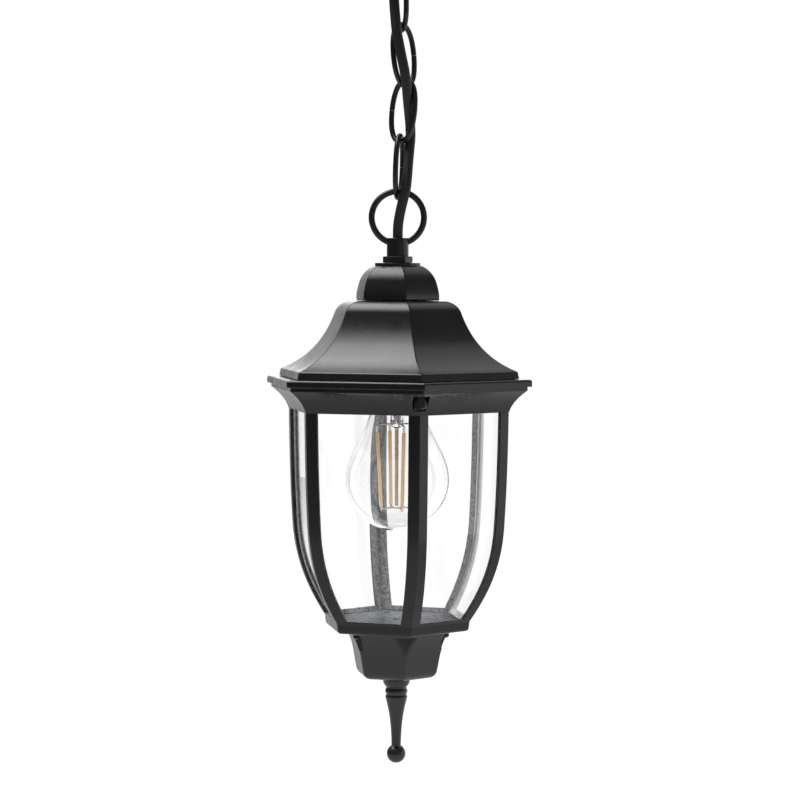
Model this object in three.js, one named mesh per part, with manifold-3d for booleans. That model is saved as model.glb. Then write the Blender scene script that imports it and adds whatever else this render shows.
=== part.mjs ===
// A hanging lantern: a six-sided cast lantern with bent glass, on a short chain under a ceiling canopy.
// Millimetres, +Z up. The origin is the centre of the ceiling plane, and everything hangs below it.
// The lantern's front corner points along -Y. "Corner radius" is a hexagon's radius across its corners.
import * as THREE from 'three';
import { mergeVertices } from 'three/addons/utils/BufferGeometryUtils.js';
import Module from 'manifold-3d';

const wasm = await Module();
wasm.setup();

// Fits
const seat = 0.3; // gap between two pieces that touch
const slip = 0.4; // room all round a piece that passes through a hole
const past = 1; // how far a cut runs past what it cuts

// Ceiling fitting
const canopyRadius = 60;
const canopyHeight = 24;
const canopyWall = 1.2;
const canopyFlatRadius = 15;
const barLength = 100;
const barWidth = 16;
const barThickness = 2;
const slotWidth = 5;
const slotNear = 33; // inner end of each slot, from the centre
const slotFar = 46.5;
const earthScrewPlace = 22;
const earthScrewRadius = 2;
const earthScrewHead = 3.6;
const earthScrewHeadHeight = 2.2;

// Hanging loops, one under the canopy and one on the lantern
const ringRadius = 15.05; // to the middle of the wire
const ringWire = 1.65; // wire radius
const ringRise = 11.9; // ring centre above the end of its collar
const ringGrip = 1.2; // depth of the ring's ends in the collar's wall
const collarRadius = 6.1;
const collarHeight = 10.6;
const collarBore = 4.1;
const nutCorner = 8.25;
const nutHeight = 3.3;
const tubeRadius = 4.85; // threaded tubes
const tubeBore = 3.5;
const tubeGrip = 5.8; // how far a tube reaches into a collar
const washerRadius = 12.9;
const washerThickness = 1.5;

// Chain: each link is an oval, and its ends hook the next ones
const linkLength = 39; // outside
const linkWidth = 22;
const linkWire = 1.6;
const linkFullness = 0.15; // how much fuller than an ellipse the oval is
const suspensionTurn = THREE.MathUtils.degToRad(-10.7); // the loops' plane, from the lantern's X axis
const linkTurns = [-67, 51, -46, 78]; // each link's plane, from the loops' plane, top link first
const hookShifts = [0, 1.5, 4.7, 1.2, 0]; // sideways place of each meeting of links: the flex pushes them over

// Flex, woven through the chain
const flexRadius = 2.75;

// Roof and cap
const roofWall = 2.5;
const eaveLip = 4.3;
const eaveDraft = 0.9;
const neckRadius = 38.9;
const neckLevel = 38.7;
const roofTopRadius = 32.5;
const roofTopLevel = 44.6;
const capWall = 2.2;
const capRadius = 25.7;
const capShoulderRadius = 23.3;
const capShoulderRise = 11.6; // above the roof's top
const capTopRadius = 13.5;
const capHeight = 19.9;

// Cage
const flangeRadius = 82;
const flangeThickness = 4.1;
const flangeLedge = 7.8; // how far the flange stands out past the roof
const stepSet = 2.7; // how far the step under the flange stands back from it
const stepThickness = 2.3;
const coveSet = 13.9; // how far the flange stands out past the ribs, which start where the cove ends
const coveLevel = -19.5;
const bendSet = 2.3; // how far in the ribs lean before they turn in
const bendLevel = -84.6;
const baseRadius = 45;
const baseLevel = -141;
const baseThickness = 5.7;
const baseRound = 2.1;
const floorThickness = 5.5;
const ribLeg = 6.7; // a rib's width on each of its two faces
const ribWall = 2.2;
const windowTop = -19;
const sillHeight = 2; // the sill's top above the base
const landWall = 1; // step that stops the panes at the top
const landLevel = -13.7;
const pocketSet = 3.5; // the two corner fixings' axis inside the roof's edge
const pocketRadius = 4.6;
const pocketTop = -7.9;
const pocketBottom = -16.4;

// Corner fixings
const studRadius = 1.75;
const studGrip = 4.2; // thread in the roof's boss
const bossRadius = 3.4;
const bossHeight = 6;
const capNutRadius = 3.4;
const capNutHeight = 7.2;
const capNutDome = 1.2;

// Glass
const paneThickness = 2;
const paneTop = -14;
const retainerWall = 1.2;
const retainerTop = -8;
const retainerBottom = -18.4;

// Cup and finial
const cupRadius = 33.5;
const cupWallRadius = 23.5; // where the cup's side meets its rounded bottom
const cupSide = 23.8;
const cupDepth = 28.2;
const cupFlatRadius = 19;
const cupWall = 2.4;
const cupWeb = 1.8; // flange over each scallop
const cupShelfHole = 20; // radius of the opening inside the flange
const scallopRadius = 9.5;
const scallopPlace = 35.9;
const cupScrewPlace = 29.6;
const cupScrewRadius = 1.6;
const cupScrewHead = 2.7;
const cupScrewHeadHeight = 2;
const cupScrewGrip = 4.2;
const finialLength = 50.8;
const finialHead = 11.4; // length of its collar and beads
const finialCollar = 7.75;
const finialTip = 2.36; // its thinnest place, over the ball
const finialBall = 5.15;
const finialStudRadius = 2;
const finialStudGrip = 12; // thread inside the finial
const finialNutCorner = 4;
const finialNutHeight = 3;

// Lampholder
const holderRadius = 18.5;
const holderWall = 1.6;
const holderDrop = 2.3; // room under the roof's nut
const skirtHeight = 30.4;
const holderCapHeight = 14;
const holderNeck = 8;
const holderGrip = 7; // thread of the tube in the holder's cap
const blockThickness = 5;
const shellRadius = 14.6;
const shellWall = 0.5;
const shellHeight = 22.5;
const contactWidth = 5;
const contactLength = 13;
const contactThickness = 0.6;

// Bulb
const bulbRadius = 30;
const bulbLength = 105;
const glassWall = 0.8;
const bulbNeck = 12.9;
const neckInCap = 11;
const lampCapRadius = 13.1;
const lampCapHeight = 18.5;
const threadPitch = 3.6;
const threadDepth = 0.8;
const lampCapWall = 0.5;
const insulatorHeight = 4.8;
const tipRadius = 4.6;
const tipHeight = 2.2;
const stemRadius = 4;
const stemLength = 27;
const rodRadius = 0.9;
const filamentRadius = 1.05;
const filamentLength = 44;
const filamentTopPlace = 12;
const filamentFootPlace = 9.6;
const filamentRise = 28.1; // tops above the middle of the globe
const filamentTurn = THREE.MathUtils.degToRad(9.3);
const frameWire = 0.45;

// Places that follow from the sizes above
const eaveRadius = flangeRadius - flangeLedge;
const stepRadius = flangeRadius - stepSet;
const coveRadius = flangeRadius - coveSet;
const bendRadius = coveRadius - bendSet;
const pocketPlace = eaveRadius - pocketSet;

// Finishes
const finish = (color, roughness, metalness) => new THREE.MeshStandardMaterial({ color, roughness, metalness });
const blackCoat = () => finish(0x26272a, 0.5, 0.2);
const blackSteel = () => finish(0x1f2023, 0.42, 0.4);
const zincSteel = () => finish(0xb9bcc0, 0.4, 0.9);
const clearGlass = () => finish(0xe8efef, 0.05, 0);
const flexCover = () => finish(0x1b1b1d, 0.6, 0);
const blackPlastic = () => finish(0x202022, 0.45, 0);
const brass = () => finish(0xc8a765, 0.35, 0.95);
const phosphor = () => finish(0xe6b87c, 0.6, 0);
const porcelain = () => finish(0xe9e6dd, 0.3, 0);
const greenSteel = () => finish(0x2f7d4a, 0.4, 0.6);

const across = Math.cos(Math.PI / 6); // flat radius over corner radius
const round = 24; // sides of large round pieces
const small = 16; // and of small ones

// A closed geometry as a solid, facing out.
function solid(geometry) {
  const bare = geometry.clone();
  bare.deleteAttribute('normal');
  bare.deleteAttribute('uv');
  const merged = mergeVertices(bare, 1e-4);
  const place = merged.attributes.position.array;
  const index = merged.index.array;
  const faces = [];
  let volume = 0;
  const [a, b, c] = [new THREE.Vector3(), new THREE.Vector3(), new THREE.Vector3()];
  for (let i = 0; i < index.length; i += 3) {
    const [p, q, r] = [index[i], index[i + 1], index[i + 2]];
    if (p === q || q === r || r === p) continue;
    volume += a.fromArray(place, 3 * p).dot(b.fromArray(place, 3 * q).cross(c.fromArray(place, 3 * r)));
    faces.push(p, q, r);
  }
  if (volume < 0) faces.reverse();
  const mesh = new wasm.Mesh({
    numProp: 3,
    vertProperties: new Float32Array(place),
    triVerts: new Uint32Array(faces),
  });
  return new wasm.Manifold(mesh);
}

// A named mesh from a solid.
function piece(name, body, material) {
  const { vertProperties, triVerts } = body.getMesh();
  const geometry = new THREE.BufferGeometry();
  geometry.setAttribute('position', new THREE.BufferAttribute(new Float32Array(vertProperties), 3));
  geometry.setIndex(new THREE.BufferAttribute(new Uint32Array(triVerts), 1));
  geometry.computeVertexNormals();
  const mesh = new THREE.Mesh(geometry, material);
  mesh.name = name;
  return mesh;
}

// An outline of [radius, level] points turned about the Z axis. Six sides make a hexagon with a corner at -Y.
function turned(outline, sides = round) {
  const points = outline.map(([radius, level]) => new THREE.Vector2(radius, level));
  const startsOnAxis = outline[0][0] === 0;
  if (!startsOnAxis) points.push(points[0].clone());
  return solid(new THREE.LatheGeometry(points, sides).rotateX(Math.PI / 2));
}

function cylinder(radius, bottom, top, sides = small) {
  const geometry = new THREE.CylinderGeometry(radius, radius, top - bottom, sides).rotateX(Math.PI / 2);
  return solid(geometry.translate(0, 0, (top + bottom) / 2));
}

function tube(radius, bore, bottom, top, sides = small) {
  return turned([[radius, bottom], [radius, top], [bore, top], [bore, bottom]], sides);
}

function hexNut(corner, bore, bottom, top) {
  return cylinder(corner, bottom, top, 6).subtract(cylinder(bore, bottom - past, top + past));
}

function box(width, depth, bottom, top) {
  return solid(new THREE.BoxGeometry(width, depth, top - bottom).translate(0, 0, (top + bottom) / 2));
}

// Turns about Z by an angle in degrees, as a solid's own move.
const turnedBy = (body, degrees) => body.rotate([0, 0, degrees]);

// A sweep from start to end with two handles, each given as its share of the way in radius and in level.
function sweep(start, end, handleA, handleB, steps) {
  const at = ([across_, down]) => new THREE.Vector2(
    THREE.MathUtils.lerp(start[0], end[0], across_),
    THREE.MathUtils.lerp(start[1], end[1], down),
  );
  const curve = new THREE.CubicBezierCurve(new THREE.Vector2(...start), at(handleA), at(handleB),
    new THREE.Vector2(...end));
  return curve.getPoints(steps).map((p) => [p.x, p.y]);
}

// A rounded corner between two points, pulled towards a third.
function rounding(start, pull, end, steps) {
  const curve = new THREE.QuadraticBezierCurve(new THREE.Vector2(...start), new THREE.Vector2(...pull),
    new THREE.Vector2(...end));
  return curve.getPoints(steps).map((p) => [p.x, p.y]);
}

// The same outline moved to its left by a wall. flat is flat radius over corner radius: 1 on a round piece.
function inset(outline, wall, flat = 1) {
  const flatOutline = outline.map(([radius, level]) => new THREE.Vector2(radius * flat, level));
  return flatOutline.map((point, i) => {
    const before = flatOutline[Math.max(i - 1, 0)];
    const after = flatOutline[Math.min(i + 1, flatOutline.length - 1)];
    const along = after.clone().sub(before).normalize();
    return [(point.x - along.y * wall) / flat, point.y + along.x * wall];
  });
}

// The radius of a falling outline at a level, between its points or carried on past its last one.
function radiusAt(outline, level) {
  const found = outline.findIndex((p, k) => k > 0 && p[1] <= level);
  const i = found < 0 ? outline.length - 1 : found;
  const [a, b] = [outline[i - 1], outline[i]];
  return THREE.MathUtils.mapLinear(level, a[1], b[1], a[0], b[0]);
}

// A falling outline cut off, or carried on, to end at a level.
function downTo(outline, level) {
  return [...outline.filter((p) => p[1] > level + 0.5), [radiusAt(outline, level), level]];
}

// ---- Hanging loop: lock nut, collar and ring, standing on level 0

const collarFoot = nutHeight + seat;
const collarTop = collarFoot + collarHeight;
const ringCentre = collarTop + ringRise;
const ringTop = ringCentre + ringRadius; // middle of the wire

function torus(radius, wire, sides, steps, level) {
  return solid(new THREE.TorusGeometry(radius, wire, sides, steps).rotateX(Math.PI / 2).translate(0, 0, level));
}

function hangingLoop(names) {
  const loop = new THREE.Group();
  const ringEnd = collarRadius - ringGrip;
  const ring = torus(ringRadius, ringWire, 8, 28, ringCentre)
    .subtract(cylinder(ringEnd, 0, ringCentre, small));
  const ringHole = torus(ringRadius, ringWire + seat, 8, 28, ringCentre);
  const tubeTop = collarFoot + tubeGrip + seat;
  const collar = turned([
    [tubeRadius + seat, collarFoot],
    [collarRadius, collarFoot],
    [collarRadius, collarTop],
    [collarBore, collarTop],
    [collarBore, tubeTop],
    [tubeRadius + seat, tubeTop],
  ], small).subtract(ringHole);
  loop.add(
    piece(names[0], ring, blackSteel()),
    piece(names[1], collar, blackSteel()),
    piece(names[2], hexNut(nutCorner, tubeRadius + seat, 0, nutHeight), blackSteel()),
  );
  return loop;
}

// ---- Ceiling fitting

function ceilingFitting() {
  const fitting = new THREE.Group();
  const tubeHole = cylinder(tubeRadius + seat, -barThickness - past, past);
  const slotLength = slotFar - slotNear - slotWidth;
  let bar = box(barLength, barWidth, -barThickness, 0).subtract(tubeHole);
  for (const side of [-1, 1]) {
    const middle = side * (slotNear + slotFar) / 2;
    const slotEnds = [-1, 1].map((end) => cylinder(slotWidth / 2, -barThickness - past, past, 12)
      .translate([middle + end * slotLength / 2, 0, 0]));
    const slot = box(slotLength, slotWidth, -barThickness - past, past).translate([middle, 0, 0]);
    bar = bar.subtract(slot.add(slotEnds[0]).add(slotEnds[1]));
  }
  const screwHole = cylinder(earthScrewRadius + seat, -barThickness - past, past, 12);
  bar = bar.subtract(screwHole.translate([earthScrewPlace, 0, 0]));
  const headTop = -barThickness - seat;
  const earthScrew = turned([
    [0, headTop - earthScrewHeadHeight],
    [earthScrewHead * 0.8, headTop - earthScrewHeadHeight],
    [earthScrewHead, headTop - earthScrewHeadHeight * 0.6],
    [earthScrewHead, headTop],
    [earthScrewRadius, headTop],
    [earthScrewRadius, -seat],
    [0, -seat],
  ], small);

  const flat = [canopyFlatRadius, -canopyHeight];
  const side = sweep([canopyRadius, -canopyHeight * 0.16], flat, [0.02, 0.55], [0.5, 1], 5);
  const outside = [[canopyRadius, 0], ...side, [tubeRadius + slip, -canopyHeight]];
  const inside = inset(outside, -canopyWall);
  inside[inside.length - 1][0] = tubeRadius + slip;
  inside[0][1] = 0;
  const canopy = turned([...outside, ...inside.reverse()], 32);

  const loop = hangingLoop(['canopy_ring', 'canopy_ring_collar', 'canopy_lock_nut']);
  loop.rotation.set(Math.PI, 0, suspensionTurn, 'ZYX');
  loop.position.z = -canopyHeight - seat;

  const tubeBottom = -canopyHeight - seat - collarFoot - tubeGrip;
  const nutTop = -barThickness - seat;
  fitting.add(
    piece('crossbar', bar, zincSteel()),
    piece('mounting_tube', tube(tubeRadius, tubeBore, tubeBottom, -seat), zincSteel()),
    piece('crossbar_nut', hexNut(nutCorner, tubeRadius + seat, nutTop - nutHeight, nutTop), zincSteel()),
    piece('earth_screw', earthScrew.translate([earthScrewPlace, 0, 0]), greenSteel()),
    piece('canopy', canopy, blackCoat()),
    loop,
  );
  return fitting;
}

// ---- Chain

const hookGap = 2 * linkWire + seat; // between the wires of two hooked links
const ringHookGap = linkWire + ringWire + seat;
const linkReach = linkLength - 2 * linkWire; // between the wire's middles at a link's two ends
const canopyHook = -canopyHeight - seat - ringTop; // middle of the canopy ring's wire at its lowest

// The two ends of each link's axis: [sideways, level], top first.
const linkAxes = [];
let hookLevel = canopyHook + ringHookGap;
for (let i = 0; i < linkTurns.length; i += 1) {
  const shift = hookShifts[i + 1] - hookShifts[i];
  const foot = hookLevel - Math.sqrt(linkReach ** 2 - shift ** 2);
  linkAxes.push([[hookShifts[i], hookLevel], [hookShifts[i + 1], foot]]);
  hookLevel = foot + hookGap;
}
const lastFoot = linkAxes[linkAxes.length - 1][1][1];
const lanternRingTop = lastFoot + ringHookGap;

// An oval ring of round wire: a torus whose circle is drawn out to the link's oval.
// Round the oval, sideways is half the width times cos(1 + fullness sin squared), and up is half the reach times sin.
function oval() {
  const halfWidth = linkWidth / 2 - linkWire;
  const geometry = new THREE.TorusGeometry(halfWidth, linkWire, 8, 28).rotateX(Math.PI / 2);
  const place = geometry.attributes.position;
  const middle = (u) => new THREE.Vector2(
    halfWidth * Math.cos(u) * (1 + linkFullness * Math.sin(u) ** 2),
    (linkReach / 2) * Math.sin(u),
  );
  for (let i = 0; i < place.count; i += 1) {
    const [x, y, z] = [place.getX(i), place.getY(i), place.getZ(i)];
    const u = Math.atan2(z, x);
    const out = Math.hypot(x, z) - halfWidth;
    const along = middle(u + 1e-3).sub(middle(u - 1e-3)).normalize();
    const point = middle(u);
    place.setXYZ(i, point.x + along.y * out, y, point.y - along.x * out);
  }
  return solid(geometry);
}

function chainLink(name, [top, foot], turn) {
  const link = piece(name, oval(), blackSteel());
  const lean = Math.atan2(top[0] - foot[0], top[1] - foot[1]);
  const holder = new THREE.Group();
  holder.position.set((top[0] + foot[0]) / 2, 0, (top[1] + foot[1]) / 2);
  holder.rotation.y = lean;
  link.rotation.z = THREE.MathUtils.degToRad(turn);
  holder.add(link);
  return holder;
}

// ---- Flex: five stretches, each from the middle of one link to the middle of the next

// The route in the loops' plane, from the lantern's collar up to the canopy's: sideways, towards the back, and level.
// Levels count from the top of the cage's flange.
const flexRoute = [
  [0, 0, 31], [0, 0, 56], [0, 0, 74], [0, 0, 81.4], [0.2, -1.4, 88.5], [1.3, -3.6, 95.5], [2.9, -6.2, 102.5],
  [4.5, -7.2, 109], [5.3, -6, 116], [5.9, -2.6, 124], [6.6, 0.8, 132], [7.2, 2.4, 140], [7, 1.8, 147],
  [6.1, -0.9, 154], [5, -4.8, 161.5], [4.5, -8.4, 169], [3.9, -10.5, 177], [2.6, -11.4, 185], [1, -11.3, 193],
  [-0.5, -10.4, 200], [-1.8, -8.6, 208], [-2.5, -7, 217], [-3, -6.8, 226], [-2.9, -6.9, 234], [-2.1, -5.2, 242],
  [-0.9, -2.9, 249], [-0.1, -0.9, 255], [0, 0, 262], [0, 0, 276], [0, 0, 296],
];
const flexCuts = [123, 155, 187, 219]; // levels at the middles of the links, where the stretches meet

function flexStretches(rimLevel) {
  const route = new THREE.CatmullRomCurve3(
    flexRoute.map(([x, y, level]) => new THREE.Vector3(x, y, level + rimLevel)),
    false, 'centripetal',
  );
  const section = new THREE.Shape().absarc(0, 0, flexRadius, 0, 2 * Math.PI);
  const fine = route.getSpacedPoints(600);
  const ends = [-Infinity, ...flexCuts.map((level) => level + rimLevel), Infinity];
  return ends.slice(1).map((top, i) => {
    const inside = fine.filter((p) => p.z > ends[i] + (i ? seat / 2 : 0) && p.z < top - seat / 2);
    const line = new THREE.CatmullRomCurve3(inside, false, 'centripetal');
    const steps = Math.max(4, Math.round(line.getLength() / (2.2 * 2 * flexRadius)));
    const few = new THREE.CatmullRomCurve3(line.getSpacedPoints(steps), false, 'centripetal');
    const geometry = new THREE.ExtrudeGeometry(section, {
      steps, extrudePath: few, bevelEnabled: false, curveSegments: 5,
    });
    const name = `flex_${flexCuts.length + 1 - i}`;
    return piece(name, solid(geometry), flexCover());
  });
}

// ---- Roof and cap, in the lantern's frame: level 0 is the top of the cage's flange

const capFoot = roofTopLevel + seat;
const capTop = capFoot + capHeight;
const washerFoot = capTop + seat;
const loopFoot = washerFoot + washerThickness + seat;
const tubeHoleRadius = tubeRadius + slip;

function roofOutline() {
  const eaveTop = [eaveRadius - eaveDraft, eaveLip];
  const neck = [neckRadius, neckLevel];
  const top = [roofTopRadius, roofTopLevel];
  const pull = [neckRadius - 1.7, roofTopLevel - 2.6];
  return [
    [eaveRadius, seat],
    ...sweep(eaveTop, neck, [0.497, 0.178], [0.811, 0.507], 9),
    ...rounding(neck, pull, top, 3).slice(1),
    [tubeHoleRadius, roofTopLevel],
  ];
}

function hollow(outline, wall) {
  const inner = inset(outline, wall, across);
  inner[0][1] = outline[0][1];
  inner[inner.length - 1][0] = outline[outline.length - 1][0];
  return turned([...outline, ...inner.reverse()], 6);
}

// The six-sided hole that the turned outline leaves under a level is filled and cut round again.
function roundHole(body, level, wall) {
  const filled = body.add(cylinder(tubeHoleRadius + 2, level - wall, level));
  return filled.subtract(cylinder(tubeHoleRadius, level - wall - past, level + past));
}

function roof() {
  const outline = roofOutline();
  const full = turned([[0, seat], ...outline, [0, roofTopLevel]], 6);
  let body = roundHole(hollow(outline, roofWall), roofTopLevel, roofWall);
  for (const end of [0, 180]) {
    const boss = cylinder(bossRadius, seat, seat + bossHeight + roofWall).translate([0, -pocketPlace, 0]);
    const hole = cylinder(studRadius + seat, -past, seat + studGrip + seat).translate([0, -pocketPlace, 0]);
    body = body.add(turnedBy(boss, end).intersect(full)).subtract(turnedBy(hole, end));
  }
  return piece('roof', body, blackCoat());
}

function domeCap() {
  const shoulder = [capShoulderRadius, capFoot + capShoulderRise];
  const outline = [
    [capRadius, capFoot],
    ...rounding(shoulder, [capShoulderRadius - 0.6, capTop - 0.2], [capTopRadius, capTop], 5),
    [tubeHoleRadius, capTop],
  ];
  return piece('dome_cap', roundHole(hollow(outline, capWall), capTop, capWall), blackCoat());
}

function roofStack() {
  const stack = new THREE.Group();
  const tubeTop = loopFoot + collarFoot + tubeGrip;
  const loop = hangingLoop(['hanging_ring', 'ring_collar', 'lock_nut']);
  loop.rotation.z = suspensionTurn;
  loop.position.z = loopFoot;
  const washer = turned([
    [tubeHoleRadius, washerFoot],
    [washerRadius, washerFoot],
    [washerRadius, washerFoot + washerThickness * 0.6],
    [washerRadius - 0.6, washerFoot + washerThickness],
    [tubeHoleRadius, washerFoot + washerThickness],
  ]);
  stack.add(
    roof(),
    domeCap(),
    piece('cap_washer', washer, blackSteel()),
    piece('lantern_tube', tube(tubeRadius, tubeBore, tubeFoot, tubeTop), zincSteel()),
    piece('roof_nut', hexNut(nutCorner, tubeRadius + seat, roofNutTop - nutHeight, roofNutTop), zincSteel()),
    loop,
  );
  return stack;
}

// ---- Cage

const ribOutline = [
  ...sweep([coveRadius, coveLevel], [bendRadius, bendLevel], [0.174, 0.361], [0.348, 0.647], 4),
  ...sweep([bendRadius, bendLevel], [baseRadius, baseLevel], [0.063, 0.433], [0.486, 0.727], 7).slice(1),
];
const recessRadius = coveRadius - ribWall / across;
const baseBottom = baseLevel - baseThickness;
const floorLevel = baseBottom + floorThickness;
const sillLevel = baseLevel + sillHeight;

function cageOutline() {
  const stepBottom = -flangeThickness - stepThickness;
  const cove = sweep([stepRadius, stepBottom], [coveRadius, coveLevel], [0.73, 0.4], [0.937, 0.806], 6);
  const foot = [baseRadius - 0.7, baseBottom + baseRound];
  const bottom = [foot[0] - baseRound, baseBottom];
  const inner = downTo(inset(ribOutline, -ribWall, across), floorLevel);
  inner[0] = [recessRadius, coveLevel];
  return [
    [0, floorLevel],
    ...inner.reverse(),
    [recessRadius, landLevel],
    [recessRadius - landWall, landLevel],
    [recessRadius - landWall, 0],
    [flangeRadius, 0],
    [flangeRadius, -flangeThickness],
    [stepRadius, -flangeThickness],
    ...cove,
    ...ribOutline.slice(1),
    ...rounding(foot, [foot[0], baseBottom], bottom, 4),
    [0, baseBottom],
  ];
}

// A block that passes out through one face, its two edges at a half width given for each level of the ribs.
function throughFace(levels, halfWidth) {
  const right = levels.map((level) => new THREE.Vector2(halfWidth(level), level));
  const left = levels.map((level) => new THREE.Vector2(-halfWidth(level), level)).reverse();
  const shape = new THREE.Shape([...right, ...left]);
  const geometry = new THREE.ExtrudeGeometry(shape, { depth: flangeRadius, bevelEnabled: false });
  return solid(geometry.rotateX(Math.PI / 2));
}

function levelsBetween(top, bottom) {
  const inside = ribOutline.map((p) => p[1]).filter((level) => level < top - 0.5 && level > bottom + 0.5);
  return [top, ...inside, bottom];
}

function cage() {
  let body = turned(cageOutline(), 6);
  const ribRadius = (level) => radiusAt([[coveRadius, windowTop], ...ribOutline], Math.min(level, windowTop));
  const windowCut = throughFace(levelsBetween(windowTop, sillLevel), (level) => ribRadius(level) / 2 - ribLeg);
  for (let face = 0; face < 6; face += 1) body = body.subtract(turnedBy(windowCut, 30 + 60 * face));
  for (const end of [0, 180]) {
    const pocket = cylinder(pocketRadius, pocketBottom, pocketTop, 24).translate([0, -pocketPlace, 0]);
    const out = box(2 * pocketRadius, pocketRadius * 3, pocketBottom, pocketTop)
      .translate([0, -pocketPlace - pocketRadius * 1.5, 0]);
    const studHole = cylinder(studRadius + seat, pocketTop - past, past, 12).translate([0, -pocketPlace, 0]);
    body = body.subtract(turnedBy(pocket.add(out).add(studHole), end));
  }
  for (const corner of cupScrewCorners) {
    const hole = cylinder(cupScrewRadius + seat, baseBottom - past, floorLevel + past, 12);
    body = body.subtract(turnedBy(hole.translate([0, -cupScrewPlace, 0]), corner));
  }
  body = body.subtract(cylinder(finialStudRadius + seat, baseBottom - past, floorLevel + past, 16));
  return piece('cage', body, blackCoat());
}

// ---- Glass

function panes() {
  const outer = [[recessRadius - seat / across, paneTop], ...inset(ribOutline, -(ribWall + seat), across).slice(1)];
  const foot = floorLevel + seat;
  const kept = downTo(outer, foot);
  const faceLine = kept.map(([radius, level]) => [radius * across, level]);
  const backLine = inset(faceLine, -paneThickness).reverse();
  backLine[0][1] = foot;
  const strip = new THREE.Shape([...faceLine, ...backLine].map((p) => new THREE.Vector2(...p)));
  const bentSheet = solid(new THREE.ExtrudeGeometry(strip, { depth: 2 * flangeRadius, bevelEnabled: false })
    .translate(0, 0, -flangeRadius).rotateX(Math.PI / 2).rotateZ(-Math.PI / 2));
  const halfWidth = (level) => (radiusAt(kept, level) * across - paneThickness) * Math.tan(Math.PI / 6) - seat;
  const levels = kept.map((p) => p[1]);
  const pane = bentSheet.intersect(throughFace(levels, halfWidth));
  const turns = [0, 1, 2, 3, 4, 5];
  return turns.map((k) => piece(`pane_${k + 1}`, turnedBy(pane, 30 + 60 * k), clearGlass()));
}

function glassRetainer() {
  const outside = recessRadius - (seat + paneThickness + seat) / across;
  const inside = outside - retainerWall / across;
  return piece('glass_retainer', turned([
    [outside, retainerBottom],
    [outside, retainerTop],
    [inside, retainerTop],
    [inside, retainerBottom],
  ], 6), zincSteel());
}

// ---- Corner fixings

function cornerFixings() {
  const nutTop = pocketTop - seat;
  const nutBottom = nutTop - capNutHeight;
  const studFoot = nutBottom + 2 * capNutDome;
  const stud = cylinder(studRadius, studFoot, seat + studGrip, 12).translate([0, -pocketPlace, 0]);
  const nut = turned([
    [0, nutBottom],
    [capNutRadius * 0.55, nutBottom],
    [capNutRadius, nutBottom + capNutDome],
    [capNutRadius, nutTop],
    [studRadius + seat, nutTop],
    [studRadius + seat, studFoot - seat],
    [0, studFoot - seat],
  ], small).translate([0, -pocketPlace, 0]);
  return [['front', 0], ['back', 180]].flatMap(([end, degrees]) => [
    piece(`roof_stud_${end}`, turnedBy(stud, degrees), zincSteel()),
    piece(`cap_nut_${end}`, turnedBy(nut, degrees), blackSteel()),
  ]);
}

// ---- Cup and finial

const cupTop = baseBottom - seat;
const cupBottom = cupTop - cupDepth;
const cupScrewCorners = [60, 180, -60]; // corners that hold a screw, from the front one

function bottomCup() {
  const outline = [
    [0, cupBottom],
    ...rounding([cupFlatRadius, cupBottom], [cupWallRadius - 0.6, cupBottom + 0.3],
      [cupWallRadius, cupTop - cupSide], 3),
    ...sweep([cupWallRadius, cupTop - cupSide], [cupRadius, cupTop], [0.13, 0.328], [0.26, 0.689], 5).slice(1),
  ];
  const wallTop = [outline[outline.length - 1][0] - 5 / across, cupTop];
  const inner = inset(outline.slice(1), cupWall, across).filter((p) => p[1] < cupTop - cupWall);
  inner[0][1] = cupBottom + cupWall;
  let body = turned([...outline, wallTop, ...inner.reverse(), [0, cupBottom + cupWall]], 6);
  const shelf = turned([[0, cupTop - cupWeb], [cupRadius - 1, cupTop - cupWeb], [cupRadius, cupTop], [0, cupTop]], 6)
    .subtract(cylinder(cupShelfHole, cupTop - cupDepth, cupTop + past));
  body = body.add(shelf);
  for (let corner = 0; corner < 6; corner += 1) {
    const scallop = cylinder(scallopRadius, cupBottom - past, cupTop - cupWeb, round).translate([0, -scallopPlace, 0]);
    const backing = tube(scallopRadius + cupWall, scallopRadius - 1, cupBottom, cupTop - cupWeb, 12)
      .translate([0, -scallopPlace, 0]);
    const within = turned([...outline, [0, cupTop]], 6);
    body = body.add(turnedBy(backing, 60 * corner).intersect(within));
    body = body.subtract(turnedBy(scallop, 60 * corner));
  }
  for (const corner of cupScrewCorners) {
    const hole = cylinder(cupScrewRadius + seat, cupTop - cupWeb - past, cupTop + past, 12);
    body = body.subtract(turnedBy(hole.translate([0, -cupScrewPlace, 0]), corner));
  }
  body = body.subtract(cylinder(finialStudRadius + seat, cupBottom - past, cupBottom + cupWall + past, 16));
  return piece('bottom_cup', body, blackCoat());
}

function cupScrews() {
  const headTop = cupTop - cupWeb - seat;
  const screw = turned([
    [0, headTop - cupScrewHeadHeight],
    [cupScrewHead * 0.7, headTop - cupScrewHeadHeight],
    [cupScrewHead, headTop - cupScrewHeadHeight * 0.5],
    [cupScrewHead, headTop],
    [cupScrewRadius, headTop],
    [cupScrewRadius, cupTop + cupScrewGrip],
    [0, cupTop + cupScrewGrip],
  ], 16).translate([0, -cupScrewPlace, 0]);
  return cupScrewCorners.map((corner, i) => piece(`cup_screw_${i + 1}`, turnedBy(screw, corner), blackSteel()));
}

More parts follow.
